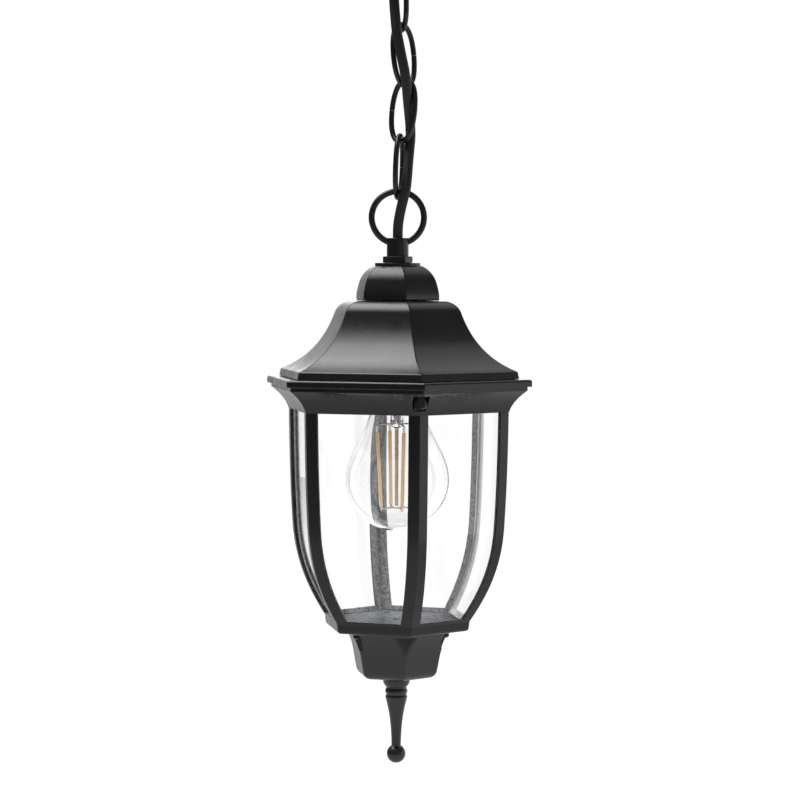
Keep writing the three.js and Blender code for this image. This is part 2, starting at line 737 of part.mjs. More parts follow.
// The finial's turned outline: collar, two beads between grooves, a long taper and a ball.
function finial() {
  const top = cupBottom - seat;
  const ball = top - finialLength + finialBall;
  const onHead = (radiusShare, depthShare) => [finialCollar * radiusShare, top - finialHead * depthShare];
  const taper = sweep(onHead(0.787, 1), [finialTip, ball + finialBall * 0.9], [0.55, 0.18], [0.96, 0.6], 4);
  const head = [
    [0.72, 0.87], [0.79, 0.77], [0.79, 0.68], [0.73, 0.57], [0.76, 0.47], [0.89, 0.37], [0.98, 0.25],
    [1, 0.1], [0.955, 0],
  ].map(([radiusShare, depthShare]) => onHead(radiusShare, depthShare));
  const ballSteps = 6;
  const turnedBall = Array.from({ length: ballSteps + 1 }, (_, i) => {
    const angle = THREE.MathUtils.lerp(-Math.PI / 2, Math.PI * 0.35, i / ballSteps);
    return [i === 0 ? 0 : finialBall * Math.cos(angle), ball + finialBall * Math.sin(angle)];
  });
  const outline = [
    ...turnedBall,
    ...taper.reverse(),
    ...head,
    [finialStudRadius + seat, top],
    [finialStudRadius + seat, top - finialStudGrip],
    [0, top - finialStudGrip],
  ];
  return piece('finial', turned(outline, small), blackCoat());
}

function finialFixing() {
  const nutBottom = cupBottom + cupWall + seat;
  const nutTop = nutBottom + finialNutHeight;
  const studFoot = cupBottom - finialStudGrip;
  return [
    piece('finial_stud', cylinder(finialStudRadius, studFoot, nutTop + 1.5, 14), zincSteel()),
    piece('finial_nut', hexNut(finialNutCorner, finialStudRadius + seat, nutBottom, nutTop), zincSteel()),
  ];
}

// ---- Lampholder

const roofNutTop = roofTopLevel - roofWall - seat;
const holderCapTop = roofNutTop - nutHeight - holderDrop;
const tubeFoot = holderCapTop - holderGrip;
const skirtTop = holderCapTop - holderCapHeight - seat;
const blockBottom = skirtTop - seat - blockThickness;
const blockRadius = holderRadius - holderWall - slip;
const bulbTip = blockBottom - contactThickness - 2 * seat;
const bulbBottom = bulbTip - bulbLength;
const filamentTop = bulbBottom + bulbRadius + filamentRise;

function lampholder() {
  const capFootLevel = skirtTop + seat;
  const holderCap = turned([
    [holderRadius, capFootLevel],
    [holderRadius, capFootLevel + holderCapHeight * 0.25],
    ...rounding([holderRadius - 0.5, capFootLevel + holderCapHeight * 0.35],
      [holderNeck + 3, capFootLevel + holderCapHeight * 0.6], [holderNeck, holderCapTop - 2], 5),
    [holderNeck, holderCapTop],
    [tubeRadius + seat, holderCapTop],
    [tubeRadius + seat, tubeFoot - seat - 1],
    [holderRadius - holderWall * 2, capFootLevel + holderCapHeight * 0.3],
    [holderRadius - holderWall, capFootLevel],
  ]);
  const skirt = turned([
    [holderRadius, skirtTop - skirtHeight],
    [holderRadius, skirtTop],
    [holderRadius - holderWall, skirtTop],
    [holderRadius - holderWall, skirtTop - skirtHeight],
  ]);
  const block = turned([
    [0, blockBottom],
    [blockRadius - 1, blockBottom],
    [blockRadius, blockBottom + 1],
    [blockRadius, blockBottom + blockThickness],
    [0, blockBottom + blockThickness],
  ]);
  const shellTop = blockBottom - seat;
  const shell = turned([
    ...threaded(shellRadius, shellTop - shellHeight, shellTop, -1),
    ...threaded(shellRadius - shellWall, shellTop - shellHeight, shellTop, -1).reverse(),
  ], small);
  const tongue = box(contactLength, contactWidth, bulbTip + seat, bulbTip + seat + contactThickness);
  return [
    piece('holder_cap', holderCap, blackPlastic()),
    piece('holder_skirt', skirt, blackPlastic()),
    piece('contact_block', block, porcelain()),
    piece('screw_shell', shell, brass()),
    piece('centre_contact', tongue.translate([(contactLength - contactWidth) / 2, 0, 0]), brass()),
  ];
}

// A ringed outline that stands for a screw thread: crests at the radius and roots a thread's depth inside.
function threaded(radius, bottom, top, rootSide = 1) {
  const turns = Math.floor((top - bottom) / threadPitch);
  const spare = (top - bottom - turns * threadPitch) / 2;
  const points = [[radius, bottom]];
  for (let i = 0; i < turns; i += 1) {
    const foot = bottom + spare + i * threadPitch;
    points.push([radius, foot + threadPitch * 0.2], [radius - threadDepth * rootSide, foot + threadPitch * 0.7]);
  }
  points.push([radius, top]);
  return points;
}

// ---- Bulb

function bulb() {
  const centre = bulbBottom + bulbRadius;
  const capFootLevel = bulbTip - tipHeight - seat - insulatorHeight - seat - lampCapHeight;
  const neckTop = capFootLevel + 6;
  const globe = Array.from({ length: 7 }, (_, i) => {
    const angle = THREE.MathUtils.lerp(-Math.PI / 2, 0, i / 6);
    return [i === 0 ? 0 : bulbRadius * Math.cos(angle), centre + bulbRadius * Math.sin(angle)];
  });
  const shoulder = sweep([bulbRadius, centre], [bulbNeck, capFootLevel - seat], [0, 0.32], [0.73, 0.55], 6).slice(1);
  const outside = [...globe, ...shoulder, [neckInCap, capFootLevel], [neckInCap, neckTop]];
  const inside = inset(outside, glassWall);
  inside[0] = [0, bulbBottom + glassWall];
  inside[inside.length - 1] = [neckInCap - glassWall, neckTop];
  const glass = turned([...outside, ...inside.reverse()]);

  const capTopLevel = capFootLevel + lampCapHeight;
  const lampCap = turned([
    ...threaded(lampCapRadius, capFootLevel, capTopLevel),
    ...threaded(lampCapRadius - lampCapWall, capFootLevel, capTopLevel).reverse(),
  ], small);
  const insulatorFoot = capTopLevel + seat;
  const insulator = turned([
    [0, insulatorFoot],
    [lampCapRadius - 0.6, insulatorFoot],
    [tipRadius + 1, insulatorFoot + insulatorHeight],
    [0, insulatorFoot + insulatorHeight],
  ], small);
  const tip = turned([
    [0, bulbTip - tipHeight],
    [tipRadius, bulbTip - tipHeight],
    [tipRadius, bulbTip - tipHeight * 0.45],
    [tipRadius * 0.6, bulbTip - 0.2],
    [0, bulbTip],
  ], small);

  const stemTop = neckTop - 1;
  const stemFoot = stemTop - stemLength;
  const rodFoot = filamentTop - filamentLength - seat;
  const stem = turned([
    [0, rodFoot + frameWire + seat],
    [rodRadius, rodFoot + frameWire + seat],
    [rodRadius, stemFoot],
    [stemRadius, stemFoot + 3],
    [stemRadius, stemTop - 9],
    [neckInCap - glassWall - seat, stemTop],
    [0, stemTop],
  ], small);

  // Bottom spider: a disc under the rod with an arm out to the foot of each filament.
  const frameLevel = rodFoot - frameWire;
  let frame = cylinder(rodRadius + 0.8, frameLevel - frameWire, frameLevel + frameWire, 12);
  const sticks = [];
  for (let k = 0; k < 4; k += 1) {
    const turn = filamentTurn + (k * Math.PI) / 2;
    const degrees = THREE.MathUtils.radToDeg(turn);
    const arm = box(filamentFootPlace + filamentRadius, 2 * frameWire, frameLevel - frameWire, frameLevel + frameWire)
      .translate([(filamentFootPlace + filamentRadius) / 2, 0, 0]);
    frame = frame.add(turnedBy(arm, degrees));
    const lean = Math.atan2(filamentTopPlace - filamentFootPlace, filamentLength);
    const stick = cylinder(filamentRadius, -filamentLength / 2 + seat, filamentLength / 2 - seat, 10)
      .rotate([0, THREE.MathUtils.radToDeg(lean), 0])
      .translate([(filamentTopPlace + filamentFootPlace) / 2, 0, filamentTop - filamentLength / 2]);
    sticks.push(piece(`filament_${k + 1}`, turnedBy(stick, degrees), phosphor()));
  }
  return [
    piece('bulb_glass', glass, clearGlass()),
    piece('bulb_screw_cap', lampCap, zincSteel()),
    piece('bulb_insulator', insulator, blackPlastic()),
    piece('bulb_tip', tip, brass()),
    piece('bulb_stem', stem, clearGlass()),
    piece('filament_frame', frame, zincSteel()),
    ...sticks,
  ];
}

// ---- The whole object

const rimLevel = lanternRingTop - (loopFoot + ringTop); // the flange's top, below the ceiling

const lantern = new THREE.Group();
lantern.position.z = rimLevel;
lantern.add(
  roofStack(), cage(), ...panes(), glassRetainer(), ...cornerFixings(), bottomCup(), ...cupScrews(),
  finial(), ...finialFixing(), ...lampholder(), ...bulb(),
);

const suspension = new THREE.Group();
suspension.rotation.z = suspensionTurn;
suspension.add(...linkAxes.map((axis, i) => chainLink(`chain_link_${i + 1}`, axis, linkTurns[i])));
suspension.add(...flexStretches(rimLevel));

const hangingLantern = new THREE.Group();
hangingLantern.add(ceilingFitting(), suspension, lantern);
export default hangingLantern;
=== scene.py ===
import math
import bpy
import bmesh
import numpy as np
from mathutils import Matrix, Vector


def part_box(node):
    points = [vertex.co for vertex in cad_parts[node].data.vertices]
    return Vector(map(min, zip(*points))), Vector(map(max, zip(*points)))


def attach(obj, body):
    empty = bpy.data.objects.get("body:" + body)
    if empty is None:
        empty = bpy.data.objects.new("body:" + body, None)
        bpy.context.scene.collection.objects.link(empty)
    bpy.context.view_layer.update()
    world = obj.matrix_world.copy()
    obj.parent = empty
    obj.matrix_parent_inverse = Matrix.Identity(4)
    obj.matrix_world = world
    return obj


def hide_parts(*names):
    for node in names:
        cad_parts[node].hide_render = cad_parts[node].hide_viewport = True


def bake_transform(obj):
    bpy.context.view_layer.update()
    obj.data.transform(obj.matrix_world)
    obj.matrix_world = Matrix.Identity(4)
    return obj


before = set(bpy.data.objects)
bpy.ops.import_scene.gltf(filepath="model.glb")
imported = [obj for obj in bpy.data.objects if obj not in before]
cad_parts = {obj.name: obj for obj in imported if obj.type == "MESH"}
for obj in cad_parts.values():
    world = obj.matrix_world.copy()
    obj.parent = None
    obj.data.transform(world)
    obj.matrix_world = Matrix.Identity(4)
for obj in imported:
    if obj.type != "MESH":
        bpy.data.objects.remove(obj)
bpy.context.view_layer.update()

mm = 0.001
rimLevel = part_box("cage")[1].z  # top of the cage's flange; levels are millimetres up from here
across = math.cos(math.radians(30))  # a hexagon's flat radius over its corner radius
loopTurn = -10.7  # degrees from the lantern's X axis to the plane of the hanging rings


# A CAD node's lowest and highest levels.
def span(node):
    foot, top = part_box(node)
    return (foot.z - rimLevel) / mm, (top.z - rimLevel) / mm


# Points in millimetres over the flange, as metres in the frame.
def lifted(points):
    return points * mm + [0, 0, rimLevel]


def turnAbout(points, degrees, axis="z"):
    return points @ np.array(Matrix.Rotation(math.radians(degrees), 3, axis.upper())).T


def addObject(name, data):
    made = bpy.data.objects.new(name, data)
    bpy.context.scene.collection.objects.link(made)
    return made


# Each cell of a grid of points is one face. A closed direction joins its last row or column to its first.
def gridFaces(rows, columns, closeRows, closeColumns):
    r = np.arange(rows if closeRows else rows - 1)
    c = np.arange(columns if closeColumns else columns - 1)
    r, c = np.meshgrid(r, c, indexing="ij")
    nextR, nextC = (r + 1) % rows, (c + 1) % columns
    corners = [r * columns + c, r * columns + nextC, nextR * columns + nextC, nextR * columns + c]
    return np.stack(corners, -1).reshape(-1, 4)


# Merges points that coincide, as at poles, and turns all faces outwards. Edges over the angle stay sharp.
def tidyMesh(mesh, sharpAngle):
    weld = 2e-6  # m
    work = bmesh.new()
    work.from_mesh(mesh)
    bmesh.ops.remove_doubles(work, verts=work.verts, dist=weld)
    bmesh.ops.dissolve_degenerate(work, edges=work.edges, dist=weld)
    bmesh.ops.recalc_face_normals(work, faces=work.faces)
    work.to_mesh(mesh)
    work.free()
    mesh.shade_smooth()
    mesh.set_sharp_from_angle(angle=math.radians(sharpAngle))


# Large flats keep their own shading beside narrow rounded edges.
def evenShading(piece):
    shading = piece.modifiers.new("evenShading", "WEIGHTED_NORMAL")
    shading.keep_sharp = True


# One mesh object from a part, or from a list of them. A part is (points, closeRows, closeColumns), in metres.
def surfacePiece(name, parts, sharpAngle=32):
    mesh = bpy.data.meshes.new(name)
    points, faces, start = [], [], 0
    for grid, closeRows, closeColumns in parts if isinstance(parts, list) else [parts]:
        rows, columns = grid.shape[:2]
        points.append(grid.reshape(-1, 3))
        faces.append(gridFaces(rows, columns, closeRows, closeColumns) + start)
        start += rows * columns
    mesh.from_pydata(np.concatenate(points).tolist(), [], np.concatenate(faces).tolist())
    piece = addObject(name, mesh)
    tidyMesh(mesh, sharpAngle)
    evenShading(piece)
    return piece


# Cuts tools out of a piece, or joins them to it, and makes the result the piece's own mesh.
def carve(piece, tools, operation="DIFFERENCE", sharpAngle=32):
    piece.modifiers.clear()
    for tool in tools:
        tool.modifiers.clear()
        change = piece.modifiers.new(tool.name, "BOOLEAN")
        change.object, change.operation, change.solver = tool, operation, "EXACT"
    graph = bpy.context.evaluated_depsgraph_get()
    result = bpy.data.meshes.new_from_object(piece.evaluated_get(graph))
    piece.modifiers.clear()
    piece.data = result
    tidyMesh(result, sharpAngle)
    evenShading(piece)
    for tool in tools:
        bpy.data.objects.remove(tool, do_unlink=True)
    return piece


# A piece takes its material, rides on its body and stands for its CAD node.
def settle(piece, material, body, node=None):
    piece.data.materials.clear()
    piece.data.materials.append(material)
    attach(piece, body)
    if node:
        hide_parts(node)


def addPiece(name, parts, material, body, node=None, sharpAngle=32):
    settle(surfacePiece(name, parts, sharpAngle), material, body, node)


# A corner (x, y, r) becomes an arc of radius r that touches both its sides. Without r it stays as it is.
def filleted(corners, closed=True):
    steps = 5
    points = [np.array(c[:2], float) for c in corners]
    out = []
    for i, corner in enumerate(corners):
        p, a, b = points[i], points[i - 1], points[(i + 1) % len(points)]
        radius = corner[2] if len(corner) > 2 else 0
        if radius == 0 or (not closed and i in (0, len(points) - 1)):
            out.append(p[None])
            continue
        toA, toB = a - p, b - p
        lengthA, lengthB = np.linalg.norm(toA), np.linalg.norm(toB)
        toA, toB = toA / lengthA, toB / lengthB
        half = math.acos(np.clip(toA @ toB, -1, 1)) / 2
        if half > math.radians(89):  # the sides run on almost straight
            out.append(p[None])
            continue
        reach = min(radius / math.tan(half), 0.48 * lengthA, 0.48 * lengthB)
        radius = reach * math.tan(half)
        middle = toA + toB
        centre = p + middle / np.linalg.norm(middle) * radius / math.sin(half)
        turn = math.pi - 2 * half
        t = np.linspace(0, 1, steps + 1)[:, None]
        fromA = np.sin((1 - t) * turn) * (p + toA * reach - centre)
        fromB = np.sin(t * turn) * (p + toB * reach - centre)
        out.append(centre + (fromA + fromB) / math.sin(turn))
    return np.concatenate(out)


# A rectangle of two half widths with rounded corners.
def rectangle(x, y, fillet):
    return filleted([(-x, -y, fillet), (x, -y, fillet), (x, y, fillet), (-x, y, fillet)])


# The cubic curve from a to d that leaves towards b and arrives from c.
def bezier(a, b, c, d, steps):
    t = np.linspace(0, 1, steps + 1)[:, None]
    a, b, c, d = (np.array(p, float) for p in (a, b, c, d))
    return (1 - t) ** 3 * a + 3 * t * (1 - t) ** 2 * b + 3 * t * t * (1 - t) * c + t ** 3 * d


# An arc in the plane of an outline, from one angle to another, in degrees.
def arc(centre, radius, start, end, steps):
    angle = np.radians(np.linspace(start, end, steps + 1))
    return np.stack([centre[0] + radius * np.cos(angle), centre[1] + radius * np.sin(angle)], -1)


# The angles of even steps once round.
def roundAngles(steps):
    return np.linspace(0, 2 * np.pi, steps, endpoint=False)


def circle(radius, sides):
    angle = roundAngles(sides)
    return radius * np.stack([np.cos(angle), np.sin(angle)], -1)


# A smooth line through the points: between each two of them a cubic whose ends follow their neighbours,
# with each point's share of the way counted as the square root of the distance between points.
def smoothLine(points, steps):
    ghost = np.concatenate([[2 * points[0] - points[1]], points, [2 * points[-1] - points[-2]]])
    knots = np.concatenate([[0], np.cumsum(np.sqrt(np.linalg.norm(np.diff(ghost, axis=0), axis=1)))])
    out = []
    for i in range(1, len(ghost) - 2):
        t = np.linspace(knots[i], knots[i + 1], steps, endpoint=False)[:, None]
        p, k = ghost[i - 1:i + 3], knots[i - 1:i + 3]
        a = [((k[j + 1] - t) * p[j] + (t - k[j]) * p[j + 1]) / (k[j + 1] - k[j]) for j in range(3)]
        b = [((k[j + 2] - t) * a[j] + (t - k[j]) * a[j + 1]) / (k[j + 2] - k[j]) for j in range(2)]
        out.append(((k[2] - t) * b[0] + (t - k[1]) * b[1]) / (k[2] - k[1]))
    return np.concatenate(out + [points[-1:]])


# The unit direction at each point of a line.
def directions(line, closed=False):
    along = np.roll(line, -1, 0) - np.roll(line, 1, 0) if closed else np.gradient(line, axis=0)
    return along / np.linalg.norm(along, axis=1)[:, None]


# An outline moved sideways, to the left of its direction.
def moved(outline, distance, closed=False):
    along = directions(outline, closed)
    return outline + np.stack([-along[:, 1], along[:, 0]], -1) * distance


# The inside of a shell of even thickness, back along its outside to the same hole and the same rim.
def innerSide(outside, wall):
    inside = moved(outside, wall)[::-1]
    inside[0, 0], inside[-1, 1] = outside[-1, 0], outside[0, 1]
    return inside


# Rows of radius and level, one value a row or one for each step round, carried once round an upright axis. Rows
# that start on the axis end there, and others close to a ring.
def stacked(rows, steps=48, centre=(0, 0)):
    rows = [(row[:, :1], row[:, 1:]) if isinstance(row, np.ndarray) else row for row in rows]
    radius = np.concatenate([np.broadcast_to(r, (len(r), steps)) for r, z in rows])
    level = np.concatenate([np.broadcast_to(z, (len(z), steps)) for r, z in rows])
    angle = roundAngles(steps)
    x, y = centre[0] + radius * np.cos(angle), centre[1] + radius * np.sin(angle)
    return lifted(np.stack([x, y, level], -1)), radius[0, 0] > 1e-9, True


# A round solid from the corners (radius, level, fillet) of its outline.
def lathe(corners, steps=64, centre=(0, 0)):
    return stacked([filleted(corners, corners[0][0] > 0)], steps, centre)


def upright(name, radius, bottom, top, place=(0, 0), steps=32):
    outline = [(0, bottom), (radius, bottom), (radius, top), (0, top)]
    return surfacePiece(name, lathe(outline, steps, place))


# A helical thread: each pitch the radius falls by the depth and comes back, a V or a wave, and the pattern climbs
# one pitch in a turn. It runs out to the root over one pitch at each end.
def threadRows(radius, depth, pitch, bottom, top, steps=48, perPitch=8, wave=False):
    level = np.linspace(bottom, top, int((top - bottom) / pitch * perPitch) + 1)[:, None]
    phase = (level / pitch - np.linspace(0, 1, steps, endpoint=False)) % 1
    cut = 0.5 - 0.5 * np.cos(2 * np.pi * phase) if wave else np.abs(2 * phase - 1)
    fade = np.clip(np.minimum(level - bottom, top - level) / pitch, 0, 1)
    return radius - depth * (1 - (1 - cut) * fade), np.broadcast_to(level, phase.shape)


# A thin shell rolled into a lamp thread, its inside in step with its outside.
def rolledShell(node, radius, wall):
    pitch, depth, steps = 3.63, 0.8, 64
    radii, levels = threadRows(radius, depth, pitch, *span(node), steps, 12, wave=True)
    return stacked([(radii, levels), (radii[::-1] - wall, levels[::-1])], steps)


# A small threaded rod from its foot, or from the end of an outline that starts on the axis, to its flat top.
def threadedRod(radius, depth, foot, top, centre=(0, 0), start=None):
    pitch, steps = 0.7, 32
    start = np.array([(0, foot)]) if start is None else start
    return stacked([start, threadRows(radius, depth, pitch, foot, top, steps), np.array([(0, top)])], steps, centre)


# A hexagon's radius at each step round: the flat radius over the cosine of the angle from the flat's middle,
# or, near a corner, the distance to an arc of the edge radius that touches both flats. A corner points to -Y.
def hexRadius(flat, edge, angle, turn=0.0):
    fromCorner = np.abs((angle - np.radians(turn - 90) + np.pi / 6) % (np.pi / 3) - np.pi / 6)
    reach = (flat - edge) / across
    touch = np.arctan2(edge * 0.5, reach + edge * across)
    rounded = reach * np.cos(fromCorner) + np.sqrt(np.maximum(edge ** 2 - (reach * np.sin(fromCorner)) ** 2, 0))
    return np.where(fromCorner < touch, rounded, flat / np.cos(np.pi / 6 - fromCorner))


# A nut's radius round its sides, the radius of its flat ends, and how far a cone turns the ends down beyond it.
def nutSides(corner, edge, steps, turn, cone):
    side = hexRadius(corner * across, edge, roundAngles(steps)[None], turn)
    land = corner * across * 0.95
    return side, land, (side - land) * math.tan(math.radians(cone))


# A hexagonal nut. The cone turns down both its ends, so that each end's edge dips at the corners.
def hexNut(corner, bore, bottom, top, turn=0.0, cone=30):
    steps, rounded, bevel = 96, 0.18, 0.4
    side, land, slope = nutSides(corner, corner * 0.035, steps, turn, cone)
    rows = [
        np.array([(bore, bottom + bevel), (bore + bevel, bottom), (land, bottom)]),
        (side - rounded, bottom + slope - rounded * 0.4), (side, bottom + slope + rounded),
        (side, top - slope - rounded), (side - rounded, top - slope + rounded * 0.4),
        np.array([(land, top), (bore + bevel, top), (bore, top - bevel)]),
    ]
    return stacked(rows, steps)


# A six-sided solid with a corner at -Y: at each [flat radius, level], six arcs of the edge radius, one to a corner,
# each centred where it touches both its flats. The flats are the straight lines between the arcs. It ends on the
# axis or closes to a ring, as stacked rows do.
def sixSided(outline, edge):
    steps = 6
    flat = outline[:, 0]
    edge = np.minimum(np.broadcast_to(edge, flat.shape), flat * 0.98)
    corner = np.radians(-90 + 60 * np.arange(6))[:, None]
    normal = corner + np.radians(np.linspace(-30, 30, steps + 1))
    corner = np.broadcast_to(corner, normal.shape).reshape(-1)
    normal = normal.reshape(-1)
    reach, edge, level = ((flat - edge) / across)[:, None], edge[:, None], outline[:, 1:]
    x = reach * np.cos(corner) + edge * np.cos(normal)
    y = reach * np.sin(corner) + edge * np.sin(normal)
    return lifted(np.stack([x, y, level + 0 * x], -1)), outline[0, 0] > 0, True


# Corner radii of an outline made flat radii. What follows the radius in a corner stays.
def flats(corners):
    return [(c[0] * across, *c[1:]) for c in corners]


# A block over a plan outline that runs anticlockwise: the outline at each (level, inset), closed over its middle.
def prism(outline, rows, middle=None, turn=0):
    middle = outline.mean(0) if middle is None else np.array(middle, float)
    rings = [np.column_stack([moved(outline, inset, True), np.full(len(outline), level)]) for level, inset in rows]
    ends = [np.broadcast_to([*middle, level], rings[0].shape) for level in (rows[0][0], rows[-1][0])]
    return turnAbout(lifted(np.stack([ends[0], *rings, ends[1]])), turn), False, True


# The plan of a notch with a round end, open towards -Y as far as the line y = -out.
def notch(place, radius, out, steps):
    return np.concatenate([arc((0, -place), radius, 0, 180, steps), [(-radius, -out), (radius, -out)]])


# A section carried along a path, across it at each point. side is never along the path, and the section's first
# direction is the part of side that is across it. size scales the section at each point.
def carried(path, section, side=(0, 1, 0), closed=False, size=1.0):
    along = directions(path, closed)
    u = np.array(side, float) - (along @ np.array(side, float))[:, None] * along
    u /= np.linalg.norm(u, axis=1)[:, None]
    v = np.cross(along, u)
    size = np.broadcast_to(size, len(path))[:, None, None]
    return path[:, None] + size * (section[:, :1] * u[:, None] + section[:, 1:] * v[:, None])


# An open sweep whose two ends close on the path.
def capped(grid, path):
    ends = [np.repeat(p, grid.shape[1], 1) for p in (path[:1, None], path[-1:, None])]
    return np.concatenate([ends[0], grid, ends[1]]), False, True


def swept(path, section, **options):
    return capped(carried(path, section, **options), path)


# A part in millimetres over the flange, turned about the axis and put in its place in the frame.
def raised(part, degrees=0):
    grid, *closing = part
    return lifted(turnAbout(grid, degrees)), *closing


print("camera")

camera = {
    "distance": 1535.3,  # from the lantern's axis, mm
    "aside": 1.6,  # to the right of the axis
    "overRim": 60.2,
    "turn": 10.67,  # degrees from the front corner's side
    "down": 2.737,
    "roll": 0.186,
    "lens": 118.6,
}


def makeCamera(c):
    data = bpy.data.cameras.new("viewCamera")
    data.lens, data.sensor_width = c["lens"], 36
    data.clip_start, data.clip_end = 0.05, 50
    rig = addObject("viewCamera", data)
    turn = math.radians(c["turn"])
    right = Vector((math.cos(turn), -math.sin(turn), 0))
    ahead = Vector((math.sin(turn), math.cos(turn), 0))
    place = (right * c["aside"] - ahead * c["distance"]) * mm + Vector((0, 0, rimLevel + c["overRim"] * mm))
    facing = Matrix((right, ahead, Vector((0, 0, 1)))).transposed()
    facing = facing @ Matrix.Rotation(math.radians(90 - c["down"]), 3, "X")
    facing = facing @ Matrix.Rotation(math.radians(c["roll"]), 3, "Z")
    rig.matrix_world = Matrix.Translation(place) @ facing.to_4x4()
    bpy.context.scene.camera = rig


makeCamera(camera)

print("materials")


# An sRGB hex colour as linear light.
def linear(code):
    parts = np.array([int(code[i:i + 2], 16) for i in (1, 3, 5)]) / 255
    parts = np.where(parts <= 0.04045, parts / 12.92, ((parts + 0.055) / 1.055) ** 2.4)
    return (*parts.tolist(), 1.0)


# Adds one node. values sets its inputs: a socket is linked, a node's first output is linked, and anything else is
# the input's own value.
def addNode(tree, kind, values=None, **settings):
    made = tree.nodes.new("ShaderNode" + kind)
    for key, value in settings.items():
        setattr(made, key, value)
    for key, value in (values or {}).items():
        if isinstance(value, bpy.types.Node):
            value = value.outputs[0]
        if isinstance(value, bpy.types.NodeSocket):
            tree.links.new(value, made.inputs[key])
        else:
            made.inputs[key].default_value = value
    return made


def newMaterial(name):
    material = bpy.data.materials.new(name)
    material.use_nodes = True
    material.node_tree.nodes.clear()
    return material, material.node_tree


# On faces turned to the axis and on the cage's floor, the coat is lighter and rougher, with grey sandy
# speckle between two colours. Gives the tone, gloss and height with that worked in.
def inwardSpeckle(tree, coordinates, speckleTones, tone, rough, fine):
    place, normal = coordinates.outputs["Object"], coordinates.outputs["Normal"]
    floorUnder = rimLevel - 130 * mm  # only faces below this are the floor's
    inwards = addNode(tree, "VectorMath", {0: place, 1: (-1, -1, 0)}, operation="MULTIPLY")
    inwards = addNode(tree, "VectorMath", {0: inwards}, operation="NORMALIZE")
    turned = addNode(tree, "VectorMath", {0: inwards, 1: normal}, operation="DOT_PRODUCT")
    axes = addNode(tree, "SeparateXYZ", {0: place})
    below = addNode(tree, "Math", {0: axes.outputs["Z"], 1: floorUnder}, operation="LESS_THAN")
    ups = addNode(tree, "SeparateXYZ", {0: normal})
    floorward = addNode(tree, "Math", {0: ups.outputs["Z"], 1: below}, operation="MULTIPLY")
    facing = addNode(tree, "Math", {0: turned.outputs["Value"], 1: floorward}, operation="MAXIMUM")
    amount = addNode(tree, "MapRange", {"Value": facing, "From Min": 0.55, "From Max": 0.75})
    sand = addNode(tree, "TexNoise", {"Vector": place, "Scale": 1 / (1.8 * mm), "Detail": 4, "Roughness": 0.85})
    grain = addNode(tree, "MapRange", {"Value": sand, "From Min": 0.42, "From Max": 0.6})
    speckleMix = addNode(tree, "Mix", {"Factor": grain, 6: linear(speckleTones[0]), 7: linear(speckleTones[1])}, data_type="RGBA")
    coarse = addNode(tree, "Math", {0: grain, 1: 1.5}, operation="MULTIPLY")
    tone = addNode(tree, "Mix", {"Factor": amount, 6: tone.outputs[2], 7: speckleMix.outputs[2]}, data_type="RGBA")
    rough = addNode(tree, "MapRange", {"Value": amount, "To Min": rough, "To Max": 0.55})
    fine = addNode(tree, "MapRange", {"Value": amount, "To Min": fine, "To Max": coarse})
    return tone, rough, fine


# Satin polyester powder, baked on a casting or on steel: near black, half gloss, with the fine orange peel of melted
# powder about a millimetre across, cloudy changes of gloss a few centimetres wide and a few dust nibs.
def powderCoat(name, dark, pale, gloss, peel=1.1, depth=0.05, specular=0.5, speckleTones=None):
    material, tree = newMaterial(name)
    coordinates = addNode(tree, "TexCoord")
    place = coordinates.outputs["Object"]
    cloud = addNode(tree, "TexNoise", {"Vector": place, "Scale": 45, "Detail": 3, "Roughness": 0.6})
    fine = addNode(tree, "TexNoise", {"Vector": place, "Scale": 1 / (peel * mm), "Detail": 2, "Roughness": 0.5})
    spots = addNode(tree, "TexVoronoi", {"Vector": place, "Scale": 1 / (7 * mm)})
    nibs = addNode(tree, "MapRange", {"Value": spots.outputs["Distance"], "From Min": 0.03, "From Max": 0.06,
                                      "To Min": 1.2, "To Max": 0})
    tone = addNode(tree, "Mix", {"Factor": cloud, 6: linear(dark), 7: linear(pale)}, data_type="RGBA")
    rough = addNode(tree, "MapRange", {"Value": cloud, "From Min": 0.3, "From Max": 0.7,
                                       "To Min": gloss - 0.03, "To Max": gloss + 0.04})
    if speckleTones:
        tone, rough, fine = inwardSpeckle(tree, coordinates, speckleTones, tone, rough, fine)
    height = addNode(tree, "Math", {0: fine, 1: nibs}, operation="ADD")
    bump = addNode(tree, "Bump", {"Height": height, "Strength": 0.5, "Distance": depth * mm})
    shader = addNode(tree, "BsdfPrincipled", {"Base Color": tone.outputs[2], "Roughness": rough, "Normal": bump,
                                              "IOR": 1.5, "Specular IOR Level": specular})
    addNode(tree, "OutputMaterial", {"Surface": shader})
    return material


